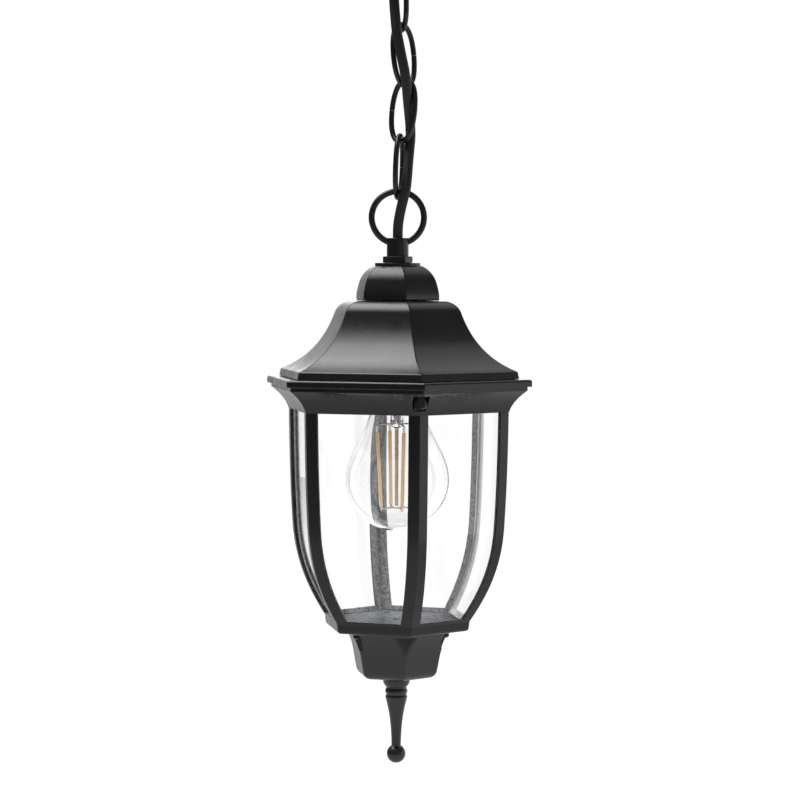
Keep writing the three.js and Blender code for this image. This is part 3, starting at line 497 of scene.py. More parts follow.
# Clear glass, very slightly rippled. With film, specks a millimetre or two across scatter part of the light in the
# glass's own colour. The light of lamps passes it unfocused.
def clearGlass(name, tint, index, film=0.0, ripple=0.05):
    material, tree = newMaterial(name)
    place = addNode(tree, "TexCoord").outputs["Object"]
    wave = addNode(tree, "TexNoise", {"Vector": place, "Scale": 18, "Detail": 1})
    bump = addNode(tree, "Bump", {"Height": wave, "Strength": 0.3, "Distance": ripple * mm})
    body = addNode(tree, "BsdfPrincipled", {"Base Color": linear(tint), "Roughness": 0.0, "IOR": index,
                                            "Transmission Weight": 1.0, "Normal": bump})
    if film:
        specks = addNode(tree, "TexNoise", {"Vector": place, "Scale": 1 / (1.6 * mm), "Detail": 3,
                                            "Roughness": 0.65})
        clear = addNode(tree, "MapRange", {"Value": specks, "From Min": 0.35, "From Max": 0.7,
                                           "To Min": 1 - film * 0.6, "To Max": 1 - film * 1.5})
        tree.links.new(clear.outputs[0], body.inputs["Transmission Weight"])
    passing = addNode(tree, "BsdfTransparent", {"Color": (0.93, 0.94, 0.94, 1)})
    ray = addNode(tree, "LightPath")
    mixed = addNode(tree, "MixShader", {0: ray.outputs["Is Shadow Ray"], 1: body, 2: passing})
    addNode(tree, "OutputMaterial", {"Surface": mixed})
    return material


# Extruded rubbery PVC: dark, nearly matt, with a very fine grain and a little dust.
def flexSheath(name, dark, pale):
    material, tree = newMaterial(name)
    place = addNode(tree, "TexCoord").outputs["Object"]
    dust = addNode(tree, "TexNoise", {"Vector": place, "Scale": 220, "Detail": 4, "Roughness": 0.7})
    fine = addNode(tree, "TexNoise", {"Vector": place, "Scale": 1800, "Detail": 2})
    tone = addNode(tree, "Mix", {"Factor": dust, 6: linear(dark), 7: linear(pale)}, data_type="RGBA")
    bump = addNode(tree, "Bump", {"Height": fine, "Strength": 0.4, "Distance": 0.05 * mm})
    shader = addNode(tree, "BsdfPrincipled", {"Base Color": tone.outputs[2], "Roughness": 0.5, "IOR": 1.5,
                                              "Specular IOR Level": 0.4, "Normal": bump})
    addNode(tree, "OutputMaterial", {"Surface": shader})
    return material


# Bare or plated metal: bright, with the faint upright streaks of drawing or turning in its gloss.
def platedMetal(name, tone, gloss):
    material, tree = newMaterial(name)
    place = addNode(tree, "TexCoord").outputs["Object"]
    stretch = addNode(tree, "Mapping", {"Vector": place, "Scale": (1, 1, 8)})
    lines = addNode(tree, "TexNoise", {"Vector": stretch, "Scale": 300, "Detail": 4, "Roughness": 0.6})
    rough = addNode(tree, "MapRange", {"Value": lines, "To Min": gloss - 0.08, "To Max": gloss + 0.12})
    bump = addNode(tree, "Bump", {"Height": lines, "Strength": 0.3, "Distance": 0.03 * mm})
    shader = addNode(tree, "BsdfPrincipled", {"Base Color": linear(tone), "Metallic": 1.0, "Roughness": rough,
                                              "Normal": bump})
    addNode(tree, "OutputMaterial", {"Surface": shader})
    return material


# Moulded or fired: one even colour with slight mottling. glow adds a painted warm glow, though the part is no lamp.
def mouldedBody(name, dark, pale, gloss, size=3.0, glow=None):
    material, tree = newMaterial(name)
    place = addNode(tree, "TexCoord").outputs["Object"]
    mottle = addNode(tree, "TexNoise", {"Vector": place, "Scale": 1 / (size * mm), "Detail": 3})
    tone = addNode(tree, "Mix", {"Factor": mottle, 6: linear(dark), 7: linear(pale)}, data_type="RGBA")
    bump = addNode(tree, "Bump", {"Height": mottle, "Strength": 0.25, "Distance": 0.05 * mm})
    shader = addNode(tree, "BsdfPrincipled", {"Base Color": tone.outputs[2], "Roughness": gloss, "IOR": 1.5,
                                              "Normal": bump})
    if glow:
        # Painted glow: emission on a part that is no lamp.
        shader.inputs["Emission Color"].default_value = linear(glow)
        shader.inputs["Emission Strength"].default_value = 0.2
    addNode(tree, "OutputMaterial", {"Surface": shader})
    return material


satinBlackCasting = powderCoat("satinBlackCasting", "#0a0a0c", "#0e0e10", 0.25)
cageCoat = powderCoat("cageCoat", "#0a0a0c", "#0e0e10", 0.25, speckleTones=("#24282c", "#9aa0a8"))
paleLitCoat = powderCoat("paleLitCoat", "#131315", "#18181a", 0.27, specular=0.68)  # the casting coat made paler and with fuller gloss on the small low castings: painted light from below
satinBlackSteel = powderCoat("satinBlackSteel", "#0a0a0b", "#0e0e0f", 0.26, peel=0.8, depth=0.03)
paneGlass = clearGlass("paneGlass", "#ffffff", 1.45)
bulbGlass = clearGlass("bulbGlass", "#ffffff", 1.46, ripple=0.01)
sticksReflectionRod = clearGlass("sticksReflectionRod", "#e0b88c", 1.46, film=0.5)  # clear glass tinted with the light sticks' colour, a painted reflection of them
blackFlex = flexSheath("blackFlex", "#0f0f10", "#19191b")
zincPlate = platedMetal("zincPlate", "#b4b8bd", 0.34)
nickelPlate = platedMetal("nickelPlate", "#c9c6bf", 0.24)
rawBrass = platedMetal("rawBrass", "#cfae6b", 0.28)
greenEnamel = powderCoat("greenEnamel", "#22713d", "#2c8049", 0.32)
blackPhenolic = mouldedBody("blackPhenolic", "#161617", "#1d1d1e", 0.4)
whiteCeramic = mouldedBody("whiteCeramic", "#e8e4da", "#f2efe8", 0.22)
blackBead = mouldedBody("blackBead", "#101012", "#18181a", 0.12)  # the bulb cap's insulating glass
# The light sticks get a painted warm glow, though the bulb is unlit.
amberPhosphor = mouldedBody("amberPhosphor", "#f8d8a6", "#ffe7bb", 0.5, size=0.8, glow="#f0b26a")

print("flex")

# The route in the plane of the rings: sideways, to the back, and up from the flange. Millimetres.
flex = {
    "diameter": 5.5,
    "sheath": 5.85,  # over the sheath where the two cores lie side by side
    "route": [
        (0, 0, 31), (0, 0, 56), (0, 0, 74), (0, 0, 81.4), (0.2, -1.4, 88.5), (1.3, -3.6, 95.5), (2.9, -6.2, 102.5),
        (4.5, -7.2, 109), (5.3, -6, 116), (5.9, -2.6, 124), (6.6, 0.8, 132), (7.2, 2.4, 140), (7, 1.8, 147),
        (6.3, -0.9, 154), (5.5, -4.8, 161.5), (4.8, -8.4, 169), (3.6, -10.5, 177), (1.9, -11.4, 185),
        (0.3, -11.3, 193), (-1, -10.4, 200), (-1.8, -8.6, 208), (-2.5, -7, 217), (-3, -6.8, 226), (-2.9, -6.9, 234),
        (-2.1, -5.2, 242), (-0.9, -2.9, 249), (-0.1, -0.9, 255), (0, 0, 262), (0, 0, 276), (0, 0, 296),
    ],
    "cuts": [219, 187, 155, 123],  # levels at the middles of the chain links, where the stretches meet
    "leastLength": 0.0331,  # the least length of a shorter stretch, m: just over six diameters
    "sides": 24,
}


def makeFlex(f):
    line = lifted(smoothLine(turnAbout(np.array(f["route"], float), loopTurn), 12))[::-1]  # from the ceiling down
    levels = [line[0, 2]] + [rimLevel + cut * mm for cut in f["cuts"]] + [line[-1, 2]]
    for i in range(5):
        top, foot = levels[i], levels[i + 1]
        inside = line[(line[:, 2] < top - 1e-6) & (line[:, 2] > foot + 1e-6)]
        ends = [np.array([np.interp(-z, -line[:, 2], line[:, k]) for k in range(3)]) for z in (top, foot)]
        path = np.concatenate([[ends[0]], inside, [ends[1]]])
        tube = swept(path, circle(f["sheath"] / 2 * mm, f["sides"]), side=(1, 0, 0))
        piece = surfacePiece(f"flexStretch_{i + 1}", tube, 50)
        piece.data.materials.append(blackFlex)
        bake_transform(piece)
        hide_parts(f"flex_{i + 1}")


makeFlex(flex)

print("ceiling fitting")

threadedTube = {"radius": 4.85, "bore": 3.5, "pitch": 1.0, "depth": 0.5}
loop = {
    "radius": 15.2,  # to the middle of the wire
    "wire": 1.82,
    "reach": 16.7,  # from the middle to the ring's end
    "wireIn": 5.1,  # each end of the wire stops this far from the collar's axis
    "collar": 6.35, "collarBore": 4.1, "tubeGrip": 6.1, "hole": 5.15,
    "nutCorner": 8.25,
    "lockNutCorner": 8.7, "lockNutCone": 8,
    "screwedHome": 0.25,  # the lock nut is drawn this much closer to the collar and to what is behind it
}
canopy = {"radius": 60, "height": 24, "flat": 15, "wall": 1.2, "hole": 5.25, "rimRound": 0.55}
crossbar = {
    "length": 100, "width": 16, "corner": 1.5, "edge": 0.3,
    "slotWidth": 5, "slotEnds": (33, 46.5), "screwPlace": 22, "screwHole": 2.3,
}
earthScrew = {"radius": 3.6, "height": 2.2, "shank": 2.0}


def makeTube(name, node, body):
    t, chamfer = threadedTube, 0.3
    foot, top = span(node)
    outside = threadRows(t["radius"], t["depth"], t["pitch"], foot, top)
    bore = np.array([(t["bore"] + chamfer, top), (t["bore"], top - chamfer),
                     (t["bore"], foot + chamfer), (t["bore"] + chamfer, foot)])
    addPiece(name, stacked([outside, bore]), zincPlate, body, node, 40)


def ringPath(angle, centre, up=1):
    return loop["radius"] * np.stack([np.cos(angle), 0 * angle, np.sin(angle) * up], -1) + [0, 0, centre]


# A wire bent round into a ring, its two ends let into the sides of a short collar, with a nut behind the collar.
# up is 1 where the ring stands on its collar and -1 where it hangs from it.
def makeLoop(names, nodes, body, up):
    ringFoot, ringTop = span(nodes[0])
    centre = ringTop - loop["reach"] if up > 0 else ringFoot + loop["reach"]
    half = math.degrees(math.asin(loop["wireIn"] / loop["radius"]))
    path = ringPath(np.radians(np.linspace(half - 90, 270 - half, 121)), centre, up)
    ring = raised(swept(path, circle(loop["wire"], 24)), loopTurn)
    addPiece(names[0], ring, satinBlackSteel, body, nodes[0], 50)

    foot, top = span(nodes[1])
    near = foot if up > 0 else top
    level = [near + up * d for d in (0, top - foot, loop["tubeGrip"])]
    collar = surfacePiece(names[1], lathe([
        (loop["hole"], level[0], 0.2), (loop["collar"], level[0], 0.35), (loop["collar"], level[1], 0.45),
        (loop["collarBore"], level[1], 0.4), (loop["collarBore"], level[2], 0.2), (loop["hole"], level[2], 0.2)]))
    path = ringPath(roundAngles(96), centre)
    hole = carried(path, circle(loop["wire"] + 0.08, 20), closed=True)
    carve(collar, [surfacePiece("wireHole", raised((hole, True, True), loopTurn))])
    settle(collar, satinBlackSteel, body, nodes[1])

    foot, top = span(nodes[2])
    nut = hexNut(loop["lockNutCorner"], loop["hole"], foot - loop["screwedHome"], top + loop["screwedHome"],
                 loopTurn + 30, loop["lockNutCone"])
    addPiece(names[2], nut, satinBlackSteel, body, nodes[2], 24)


# A pan-headed screw that points up: a low domed head with a cross cut in it, and a threaded shank.
def addScrew(name, node, place, s, material, body):
    radius, shank = s["radius"], s["shank"]
    foot, top = span(node)
    middle, under = foot + s["height"] * 0.5, foot + s["height"]
    outline = filleted([(0, foot), (radius * 0.55, foot, 1), (radius, middle, 0.5), (radius, under, 0.15),
                        (shank, under)], closed=False)
    piece = surfacePiece(name, threadedRod(shank, shank * 0.17, under, top, place, outline), 40)
    arm, wide = radius * 0.58, radius * 0.14
    quarter = np.array([(arm, -wide, 0), (arm, wide, 0), (wide, wide, 0)])
    cross = np.concatenate([turnAbout(quarter, 90 * k)[:, :2] for k in range(4)])
    cut = prism(cross + place, [(foot - 1, 0), (middle, wide * 0.4)], place)
    carve(piece, [surfacePiece("crossCut", cut)], sharpAngle=40)
    settle(piece, material, body, node)


def makeCanopy(c):
    top = span("canopy")[1]
    foot = top - c["height"]
    side = bezier((c["radius"], top - 3.84), (c["radius"] - 0.9, top - 14.9), (37.5, foot), (c["flat"], foot), 28)
    outside = np.concatenate([[(c["radius"], top)], side, [(c["hole"], foot)]])
    inside = innerSide(outside, -c["wall"])
    rim = [(*inside[-1], c["rimRound"]), (*outside[0], c["rimRound"])]
    outline = filleted(rim + [(*p,) for p in outside[1:]] + [(*p,) for p in inside[:-1]])
    addPiece("ceilingCanopy", stacked([outline], 128), satinBlackCasting, "ceiling_fitting", "canopy")


def makeCrossbar(b):
    foot, top = span("crossbar")
    plan = rectangle(b["length"] / 2, b["width"] / 2, b["corner"])
    edge, wide = b["edge"], b["slotWidth"] / 2
    bar = surfacePiece("crossbarPlate", prism(plan, [(foot, edge), (foot + edge, 0), (top - edge, 0), (top, edge)]))
    tools = [upright("tubeHole", loop["hole"], foot - 1, top + 1, steps=48),
             upright("screwHole", b["screwHole"], foot - 1, top + 1, (b["screwPlace"], 0), 24)]
    for side in (-1, 1):
        left, right = sorted(side * end for end in b["slotEnds"])
        slot = np.concatenate([arc((left + wide, 0), wide, 90, 270, 12), arc((right - wide, 0), wide, -90, 90, 12)])
        tools.append(surfacePiece("slot", prism(slot, [(foot - 1, 0), (top + 1, 0)])))
    settle(carve(bar, tools), zincPlate, "ceiling_fitting", "crossbar")


def addPlainNut(name, node, body):
    addPiece(name, hexNut(loop["nutCorner"], loop["hole"], *span(node)), zincPlate, body, node, 24)


makeCanopy(canopy)
makeCrossbar(crossbar)
makeTube("mountingTube", "mounting_tube", "ceiling_fitting")
addPlainNut("crossbarNut", "crossbar_nut", "ceiling_fitting")
addScrew("earthScrew", "earth_screw", (crossbar["screwPlace"], 0), earthScrew, greenEnamel, "ceiling_fitting")
makeLoop(["canopyRing", "canopyRingCollar", "canopyLockNut"],
         ["canopy_ring", "canopy_ring_collar", "canopy_lock_nut"], "ceiling_fitting", -1)

print("chain")

chain = {
    "turns": [-67, 51, -46, 78],  # each link's plane from the plane of the rings, degrees, top link first
    "shifts": [0, 1.5, 4.7, 1.2, 0],  # sideways place of each meeting of links
    "reach": 35.8,  # between the wire's middles at a link's two ends
    "halfWidth": 9.4,
    "fullness": 0.15,  # how much the sides bulge
    "wire": 1.57,
    "jointSides": [180, 0, 180, 0],  # where the wire's two ends meet, degrees round from the link's right
    "jointGap": 0.35,
}


# The link's wire over a part of the way round it, u. Round a link, sideways is the half width times
# cos(1 + fullness sin squared), and up is half the reach times sin.
def linkWire(c, i, u, radius):
    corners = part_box(f"chain_link_{i + 1}")
    middle = (corners[0] + corners[1]) / 2
    lean = math.degrees(math.asin((c["shifts"][i] - c["shifts"][i + 1]) / c["reach"]))
    u = u + math.radians(c["jointSides"][i])
    sideways = c["halfWidth"] * np.cos(u) * (1 + c["fullness"] * np.sin(u) ** 2)
    path = np.stack([sideways, 0 * u, c["reach"] / 2 * np.sin(u)], -1)
    grid, *closing = swept(path, circle(1, 24), size=radius)
    grid = turnAbout(turnAbout(turnAbout(grid, c["turns"][i]), lean, "y"), loopTurn)
    return grid * mm + np.array(middle), *closing


def makeChain(c):
    half = c["jointGap"] / c["reach"]  # the gap runs this far round from its middle
    edge, full = half + 0.008, half + 0.03
    way = np.concatenate([[half, edge], np.linspace(full, 2 * np.pi - full, 140),
                          [2 * np.pi - edge, 2 * np.pi - half]])
    radius = np.full(len(way), c["wire"])
    radius[[0, -1]] *= 0.88  # the cut ends are slightly bevelled
    weld = np.linspace(-half * 0.8, half * 0.8, 3)
    for i in range(4):
        k, body = i + 1, f"link_{i + 1}"
        addPiece(f"chainLink_{k}", linkWire(c, i, way, radius), satinBlackSteel, body, f"chain_link_{k}", 50)
        addPiece(f"linkJoint_{k}", linkWire(c, i, weld, c["wire"] * 0.93), zincPlate, body)


makeChain(chain)

print("roof")

roof = {
    "eave": 74.2, "eaveFoot": 0.3, "lip": 73.3, "lipLevel": 4.35, "lipRound": 1.1,
    "neck": 39.22, "neckLevel": 37.86, "top": 28.3, "topLevel": 44.6, "shoulder": 10,
    "wall": 2.5, "hole": 5.6,
    "edge": (0.9, 1.5),  # radius of the six edges at the eave and at the neck
    "boss": 3.4, "bossHeight": 6, "studPlace": 70.7, "studHole": 2.05, "studHoleTop": 4.8,
}
domeCap = {
    "foot": 25.7, "shoulder": 23.6, "shoulderRise": 11.6, "top": 15.2, "wall": 2.2, "edge": 1.4, "hole": 5.6,
}
capWasher = {"radius": 13.3, "hole": 5.25, "sunk": 0.25}  # drawn that much closer to the cap under it


# The bell's outline in corner radii: an upright lip, a long hollow sweep up to the neck, and a rounded shoulder.
def bellOutline(r):
    sweep = bezier((r["lip"], r["lipLevel"]), (56.2, 10.5), (45.4, 21.8), (r["neck"], r["neckLevel"]), 40)
    shoulder = arc((0, 0), r["shoulder"], 19, 90, 14) * [1 / across, 1] + [r["top"], r["topLevel"] - r["shoulder"]]
    lip = flats([(r["eave"], r["eaveFoot"]), (r["lip"], r["lipLevel"], r["lipRound"]), (*sweep[1],)])
    bell = np.array(flats(np.concatenate([sweep[2:], shoulder[1:]])))
    return np.concatenate([filleted(lip, closed=False)[:-1], bell, [(r["hole"], r["topLevel"])]])


def makeRoof(r):
    outside = bellOutline(r)
    share = np.clip((outside[:, 1] - r["lipLevel"]) / (r["neckLevel"] - r["lipLevel"]), 0, 1)
    edge = r["edge"][0] + (r["edge"][1] - r["edge"][0]) * share
    both = np.concatenate([outside, innerSide(outside, r["wall"])])
    shell = sixSided(both, np.concatenate([edge, edge[::-1] * 0.6]))
    piece = surfacePiece("roofBell", shell)
    # Each boss for a stud is cut to the bell's outside, just inside it, and joined to the shell.
    closedBell = np.concatenate([[(0, r["eaveFoot"])], outside, [(0, r["topLevel"])]]) - [0.02, 0]
    bosses, holes = [], []
    for side in (-1, 1):
        whole = surfacePiece("bell", sixSided(closedBell, r["edge"][0]))
        place = (0, side * r["studPlace"])
        boss = upright("boss", r["boss"], r["eaveFoot"], r["eaveFoot"] + r["bossHeight"], place)
        bosses.append(carve(boss, [whole], "INTERSECT"))
        holes.append(upright("studHole", r["studHole"], -1, r["studHoleTop"], place))
    carve(piece, bosses, "UNION")
    carve(piece, holes)
    settle(piece, satinBlackCasting, "lantern", "roof")


def makeDomeCap(d):
    foot, top = span("dome_cap")
    shoulder = foot + d["shoulderRise"]
    side = bezier((d["foot"], foot + 0.4), (26.1, foot + 3.4), (24.8, foot + 8.2), (d["shoulder"], shoulder), 16)
    crown = bezier((d["shoulder"], shoulder), (22.2, shoulder + 3.1), (19.6, top - 1.9), (d["top"], top), 16)
    outside = flats(np.concatenate([[(d["foot"] - 0.3, foot)], side, crown[1:]]))
    outside = np.array(outside + [(d["hole"], top)])
    shell = sixSided(np.concatenate([outside, innerSide(outside, d["wall"])]), d["edge"])
    addPiece("domeCap", shell, satinBlackCasting, "lantern", "dome_cap")


def makeCapWasher(w):
    foot, top = span("cap_washer")
    foot -= w["sunk"]
    outline = [(w["hole"], foot, 0.15), (w["radius"], foot, 0.15), (w["radius"], top, 0.25), (w["hole"], top, 0.2)]
    addPiece("capWasher", lathe(outline, 96), satinBlackSteel, "lantern", "cap_washer")


makeRoof(roof)
makeDomeCap(domeCap)
makeCapWasher(capWasher)
makeTube("lanternTube", "lantern_tube", "lantern")
addPlainNut("roofNut", "roof_nut", "lantern")
makeLoop(["hangingRing", "ringCollar", "lockNut"], ["hanging_ring", "ring_collar", "lock_nut"], "lantern", 1)

print("cage")

cage = {
    "flange": 82, "flangeFoot": -4.1, "step": 79.3, "stepFoot": -6.4,
    "cove": 68.1, "coveLevel": -19.5,
    "bend": 65.8, "bendLevel": -84.6,
    "base": 45, "baseLevel": -141, "baseFoot": -146.7, "baseInset": 0.7, "baseRound": 2.1, "baseEdge": 1.1,
    "floor": -141.2, "sill": -139, "windowTop": -19,
    "leg": 6.7, "wall": 2.2,  # each rib is a V of two legs
    "landLevel": -13.7, "landWall": 1.0,
    "edge": 0.9, "ribEdge": 0.45, "ribValley": 0.3,
    "pocketPlace": 70.7, "pocketRadius": 4.6, "pocketLevels": (-16.4, -7.9), "studHole": 2.05,
    "screwCorners": (60, 180, -60), "screwPlace": 29.6, "screwHole": 1.9, "finialHole": 2.3,
}
# The ribs' outer line in corner radii: nearly straight down to the bend, then a long curve in to the base.
bend = (cage["bend"], cage["bendLevel"])
ribLine = np.concatenate([
    bezier((cage["cove"], cage["coveLevel"]), (67.7, -43), (67.3, -61.6), bend, 24),
    bezier(bend, (64.5, -109), (55.7, -125.6), (cage["base"], cage["baseLevel"]), 36)[1:],
])
ribFlat = np.array(flats(ribLine))


# The flat radius of a line that falls all the way, at a level.
def flatAt(line, level):
    return np.interp(-np.asarray(level, float), -line[:, 1], line[:, 0])


# A rib's section at the corner, [outwards, sideways]: two legs 120 degrees apart with rounded edges.
def ribSection(c, wall):
    side, out = np.array([-0.5, across]), np.array([across, 0.5])
    tip = side * c["leg"]
    back = tip - out * wall
    return filleted([
        (0, 0, c["edge"]), (*tip, c["ribEdge"]), (*back, c["ribEdge"]), (-wall / across, 0, c["ribValley"]),
        (back[0], -back[1], c["ribEdge"]), (tip[0], -tip[1], c["ribEdge"])])


# A rib is cut level all the way down, so that its walls look thicker where it leans in.
def makeRib(c, corner):
    inner = moved(ribFlat, -c["wall"])
    steps = ribLine[1:, 1]
    levels = np.concatenate([[c["windowTop"] + 0.6, c["windowTop"]], steps[steps > c["sill"]], [c["sill"] - 0.5]])
    outFlat = flatAt(ribFlat, levels)
    wall = outFlat - flatAt(inner, levels)
    speckleTones, thick = ribSection(c, c["wall"]), ribSection(c, c["wall"] + 1)
    section = speckleTones + (thick - speckleTones) * (wall - c["wall"])[:, None, None]
    radius = (outFlat / across)[:, None]
    level = np.broadcast_to(levels[:, None], section.shape[:2])
    grid = np.stack([radius + section[..., 0], section[..., 1], level], -1)
    middle = np.stack([radius[:, 0] - wall / across / 2, 0 * wall, levels], -1)
    return surfacePiece("rib", raised(capped(grid, middle), corner - 90))


# The places of the cup's three screws, seen from above.
def screwPlaces(c):
    return [turnAbout(np.array([0, -c["screwPlace"], 0]), corner)[:2] for corner in c["screwCorners"]]


# The rim's section runs down the outside of the flange, the step and the cove, and back up behind the land that
# the panes' tops stand against.
def cageRim(c):
    cove = bezier((c["step"], c["stepFoot"]), (71.1, -11.8), (68.8, -17), (c["cove"], c["coveLevel"]), 24)
    cove = cove[(cove[:, 1] > c["windowTop"] + 0.3) & (cove[:, 1] < c["stepFoot"] - 0.2)]
    recess = c["cove"] - c["wall"] / across + 0.05
    land = recess - c["landWall"]
    return filleted(flats([
        (land, 0, 0.3), (c["flange"], 0, 1.5), (c["flange"], c["flangeFoot"], 0.45),
        (c["step"], c["flangeFoot"], 0.3), (c["step"], c["stepFoot"], 0.35), *cove.tolist(),
        (c["cove"] + 0.12, c["windowTop"], 0.35), (recess, c["windowTop"], 0.3), (recess, c["landLevel"], 0.2),
        (land, c["landLevel"], 0.2)]))


# The base is a plate with the sill standing round its edge.
def cageBase(c):
    inner = moved(ribFlat, -c["wall"] - 0.05)
    floorIn, sillIn = flatAt(inner, c["floor"]), flatAt(inner, c["sill"])
    sillOut = flatAt(ribFlat, c["sill"]) - 0.03
    foot = (c["base"] - c["baseInset"]) * across
    return filleted([
        (0, c["floor"]), (floorIn, c["floor"], 0.5), (sillIn, c["sill"], 0.3), (sillOut, c["sill"], 0.3),
        (c["base"] * across, c["baseLevel"], 0.2), (foot, c["baseFoot"], c["baseRound"]), (0, c["baseFoot"])],
        closed=False)


def makeCage(c):
    piece = surfacePiece("cageCasting", sixSided(cageRim(c), c["edge"]))
    base = surfacePiece("base", sixSided(cageBase(c), c["baseEdge"]))
    carve(piece, [base] + [makeRib(c, 60 * k) for k in range(6)], "UNION")

    tools = []
    foot, top = c["pocketLevels"]
    plan = notch(c["pocketPlace"], c["pocketRadius"], 90, 20)
    for side in (-1, 1):
        tools.append(surfacePiece("pocket", prism(plan, [(foot, 0), (top, 0)], turn=90 + 90 * side)))
        tools.append(upright("studHole", c["studHole"], top - 1, 1, (0, side * c["pocketPlace"]), 24))
    for place in screwPlaces(c):
        tools.append(upright("screwHole", c["screwHole"], c["baseFoot"] - 1, c["floor"] + 1, place, 24))
    tools.append(upright("finialHole", c["finialHole"], c["baseFoot"] - 1, c["floor"] + 1, steps=24))
    carve(piece, tools)
    settle(piece, cageCoat, "lantern", "cage")


makeCage(cage)

print("glass")

pane = {"thickness": 2.0, "top": -14, "gap": 0.3, "arris": 0.3}
retainer = {"outside": 62.65, "wall": 1.2, "edge": 0.8}


# A pane is a bent plate: the ribs' line moved in to the middle of the glass, with the thickness laid off on both
# sides of it. The thickness falls to nothing at the very edge, after a small bevel, so that the edge closes.
def makePanes(p):
    foot, bevelled = span("pane_1")[0], 0.72
    line = moved(ribFlat, -(cage["wall"] + p["gap"] + p["thickness"] / 2))
    line = line[line[:, 1] > foot + 0.2]
    last = line[-1] + (line[-1] - line[-2]) * (line[-1, 1] - foot) / (line[-2, 1] - line[-1, 1])
    line = np.concatenate([[(line[0, 0], p["top"])], line, [last]])
    run = np.concatenate([[0], np.cumsum(np.linalg.norm(np.diff(line, axis=0), axis=1))])
    way = np.concatenate([[0, 0], np.linspace(p["arris"], run[-1] - p["arris"], 64), [run[-1], run[-1]]])
    behind, middle, ahead = (
        np.stack([np.interp(way + step, run, line[:, k]) for k in range(2)], -1) for step in (-0.5, 0, 0.5))
    along = (ahead - behind) / np.linalg.norm(ahead - behind, axis=1)[:, None]
    edgeDown = np.ones(len(way))
    edgeDown[[0, -1]], edgeDown[[1, -2]] = 0, bevelled
    side = np.array([-1, -1, -1, 1, 1, 1, 1, 1, -1, -1])
    back = np.array([0, 0, 1, 1, 0, 0, 0, 1, 1, 0]) * p["arris"]
    thick = np.array([0, bevelled, 1, 1, bevelled, 0, -bevelled, -1, -1, -bevelled]) * p["thickness"] / 2
    half = (middle[:, 0] - p["thickness"] / 2) * math.tan(math.radians(30)) - p["gap"]
    offset = edgeDown[:, None] * thick
    radius = middle[:, :1] - along[:, 1:] * offset
    level = middle[:, 1:] + along[:, :1] * offset
    grid = np.stack([radius, side * (half[:, None] - back), level], -1)
    for k in range(6):
        part = raised((grid, False, True), 60 * k - 60)
        addPiece(f"bentPane_{k + 1}", part, paneGlass, "lantern", f"pane_{k + 1}", 30)


def makeRetainer(r):
    foot, top = span("glass_retainer")
    outside, inside = r["outside"], r["outside"] - r["wall"] / across
    band = flats([(outside, foot, 0.3), (outside, top, 0.3), (inside, top, 0.3), (inside, foot, 0.3)])
    addPiece("glassRetainer", sixSided(filleted(band), r["edge"]), zincPlate, "lantern", "glass_retainer")


makePanes(pane)
makeRetainer(retainer)

print("corner fixings")

capNut = {
    "corner": 3.7, "edge": 0.15, "hexHeight": 6.2, "turn": 30, "cone": 30,
    "dome": 2.7, "crown": 1.7,  # radius and height
    "bore": 1.9, "boreDepth": 4.2,
}
roofStud = {"radius": 1.75, "threadDepth": 0.3}


# A domed nut that faces down: a hexagon under the pocket's roof, then a short neck and half a ball.
def addCapNut(n, end, centre):
    node, steps = f"cap_nut_{end}", 72
    foot, top = span(node)
    side, land, slope = nutSides(n["corner"], n["edge"], steps, n["turn"], n["cone"])
    neck, roofIn = top - n["hexHeight"], top - n["boreDepth"]
    dome = arc((0, 0), n["dome"], 0, -90, 10) * [1, n["crown"] / n["dome"]] + [0, foot + n["crown"]]
    rows = [
        np.array([(0, roofIn), (n["bore"], roofIn), (n["bore"], top), (land, top)]),
        (side, top - slope), (side, neck + slope),
        np.array([(land, neck), (n["dome"], neck)]), dome,
    ]
    addPiece(f"capNut_{end}", stacked(rows, steps, centre), satinBlackSteel, f"{end}_nut", node, 24)


def makeCornerFixings():
    for end, side in (("front", -1), ("back", 1)):
        centre = (0, side * roof["studPlace"])
        rod = threadedRod(roofStud["radius"], roofStud["threadDepth"], *span(f"roof_stud_{end}"), centre)
        addPiece(f"roofStud_{end}", rod, zincPlate, "lantern", f"roof_stud_{end}", 40)
        addCapNut(capNut, end, centre)


makeCornerFixings()

print("cup and finial")

cup = {
    "radius": 33.9, "side": 25.2, "sideLevel": -170.8, "flat": 19.5, "edge": 1.3,
    "web": 1.8,  # flange over each scoop
    "scoop": 20, "scoopPlace": 47.1, "scoopEdge": 0.3,
    "screwScoop": 3.05, "screwScoopFoot": -157.5,
    "hole": 2.3, "floor": 2.6,  # the floor's thickness
}
cupScrew = {"radius": 2.7, "height": 2.0, "shank": 1.6}


# The cup's radius at each step round: a hexagon's, or, near every other corner, the near side of an upright cylinder
# that stands on the corner's line, whichever is less. A soft minimum rounds the edge between the two.
def scoopedRadius(c, flat, angle):
    fromCorner = (angle + np.pi / 2 + np.pi / 3) % (np.pi * 2 / 3) - np.pi / 3
    place, farOff = c["scoopPlace"], 99
    aside = place * np.sin(fromCorner)
    depth = np.sqrt(np.maximum(c["scoop"] ** 2 - aside ** 2, 0))
    scoop = np.where(np.abs(aside) < c["scoop"], place * np.cos(fromCorner) - depth, farOff)
    hexagon = hexRadius(flat, c["edge"], angle)
    nearest, furthest = np.minimum(hexagon, scoop), np.maximum(hexagon, scoop)
    return nearest - c["scoopEdge"] * np.log1p(np.exp((nearest - furthest) / c["scoopEdge"]))


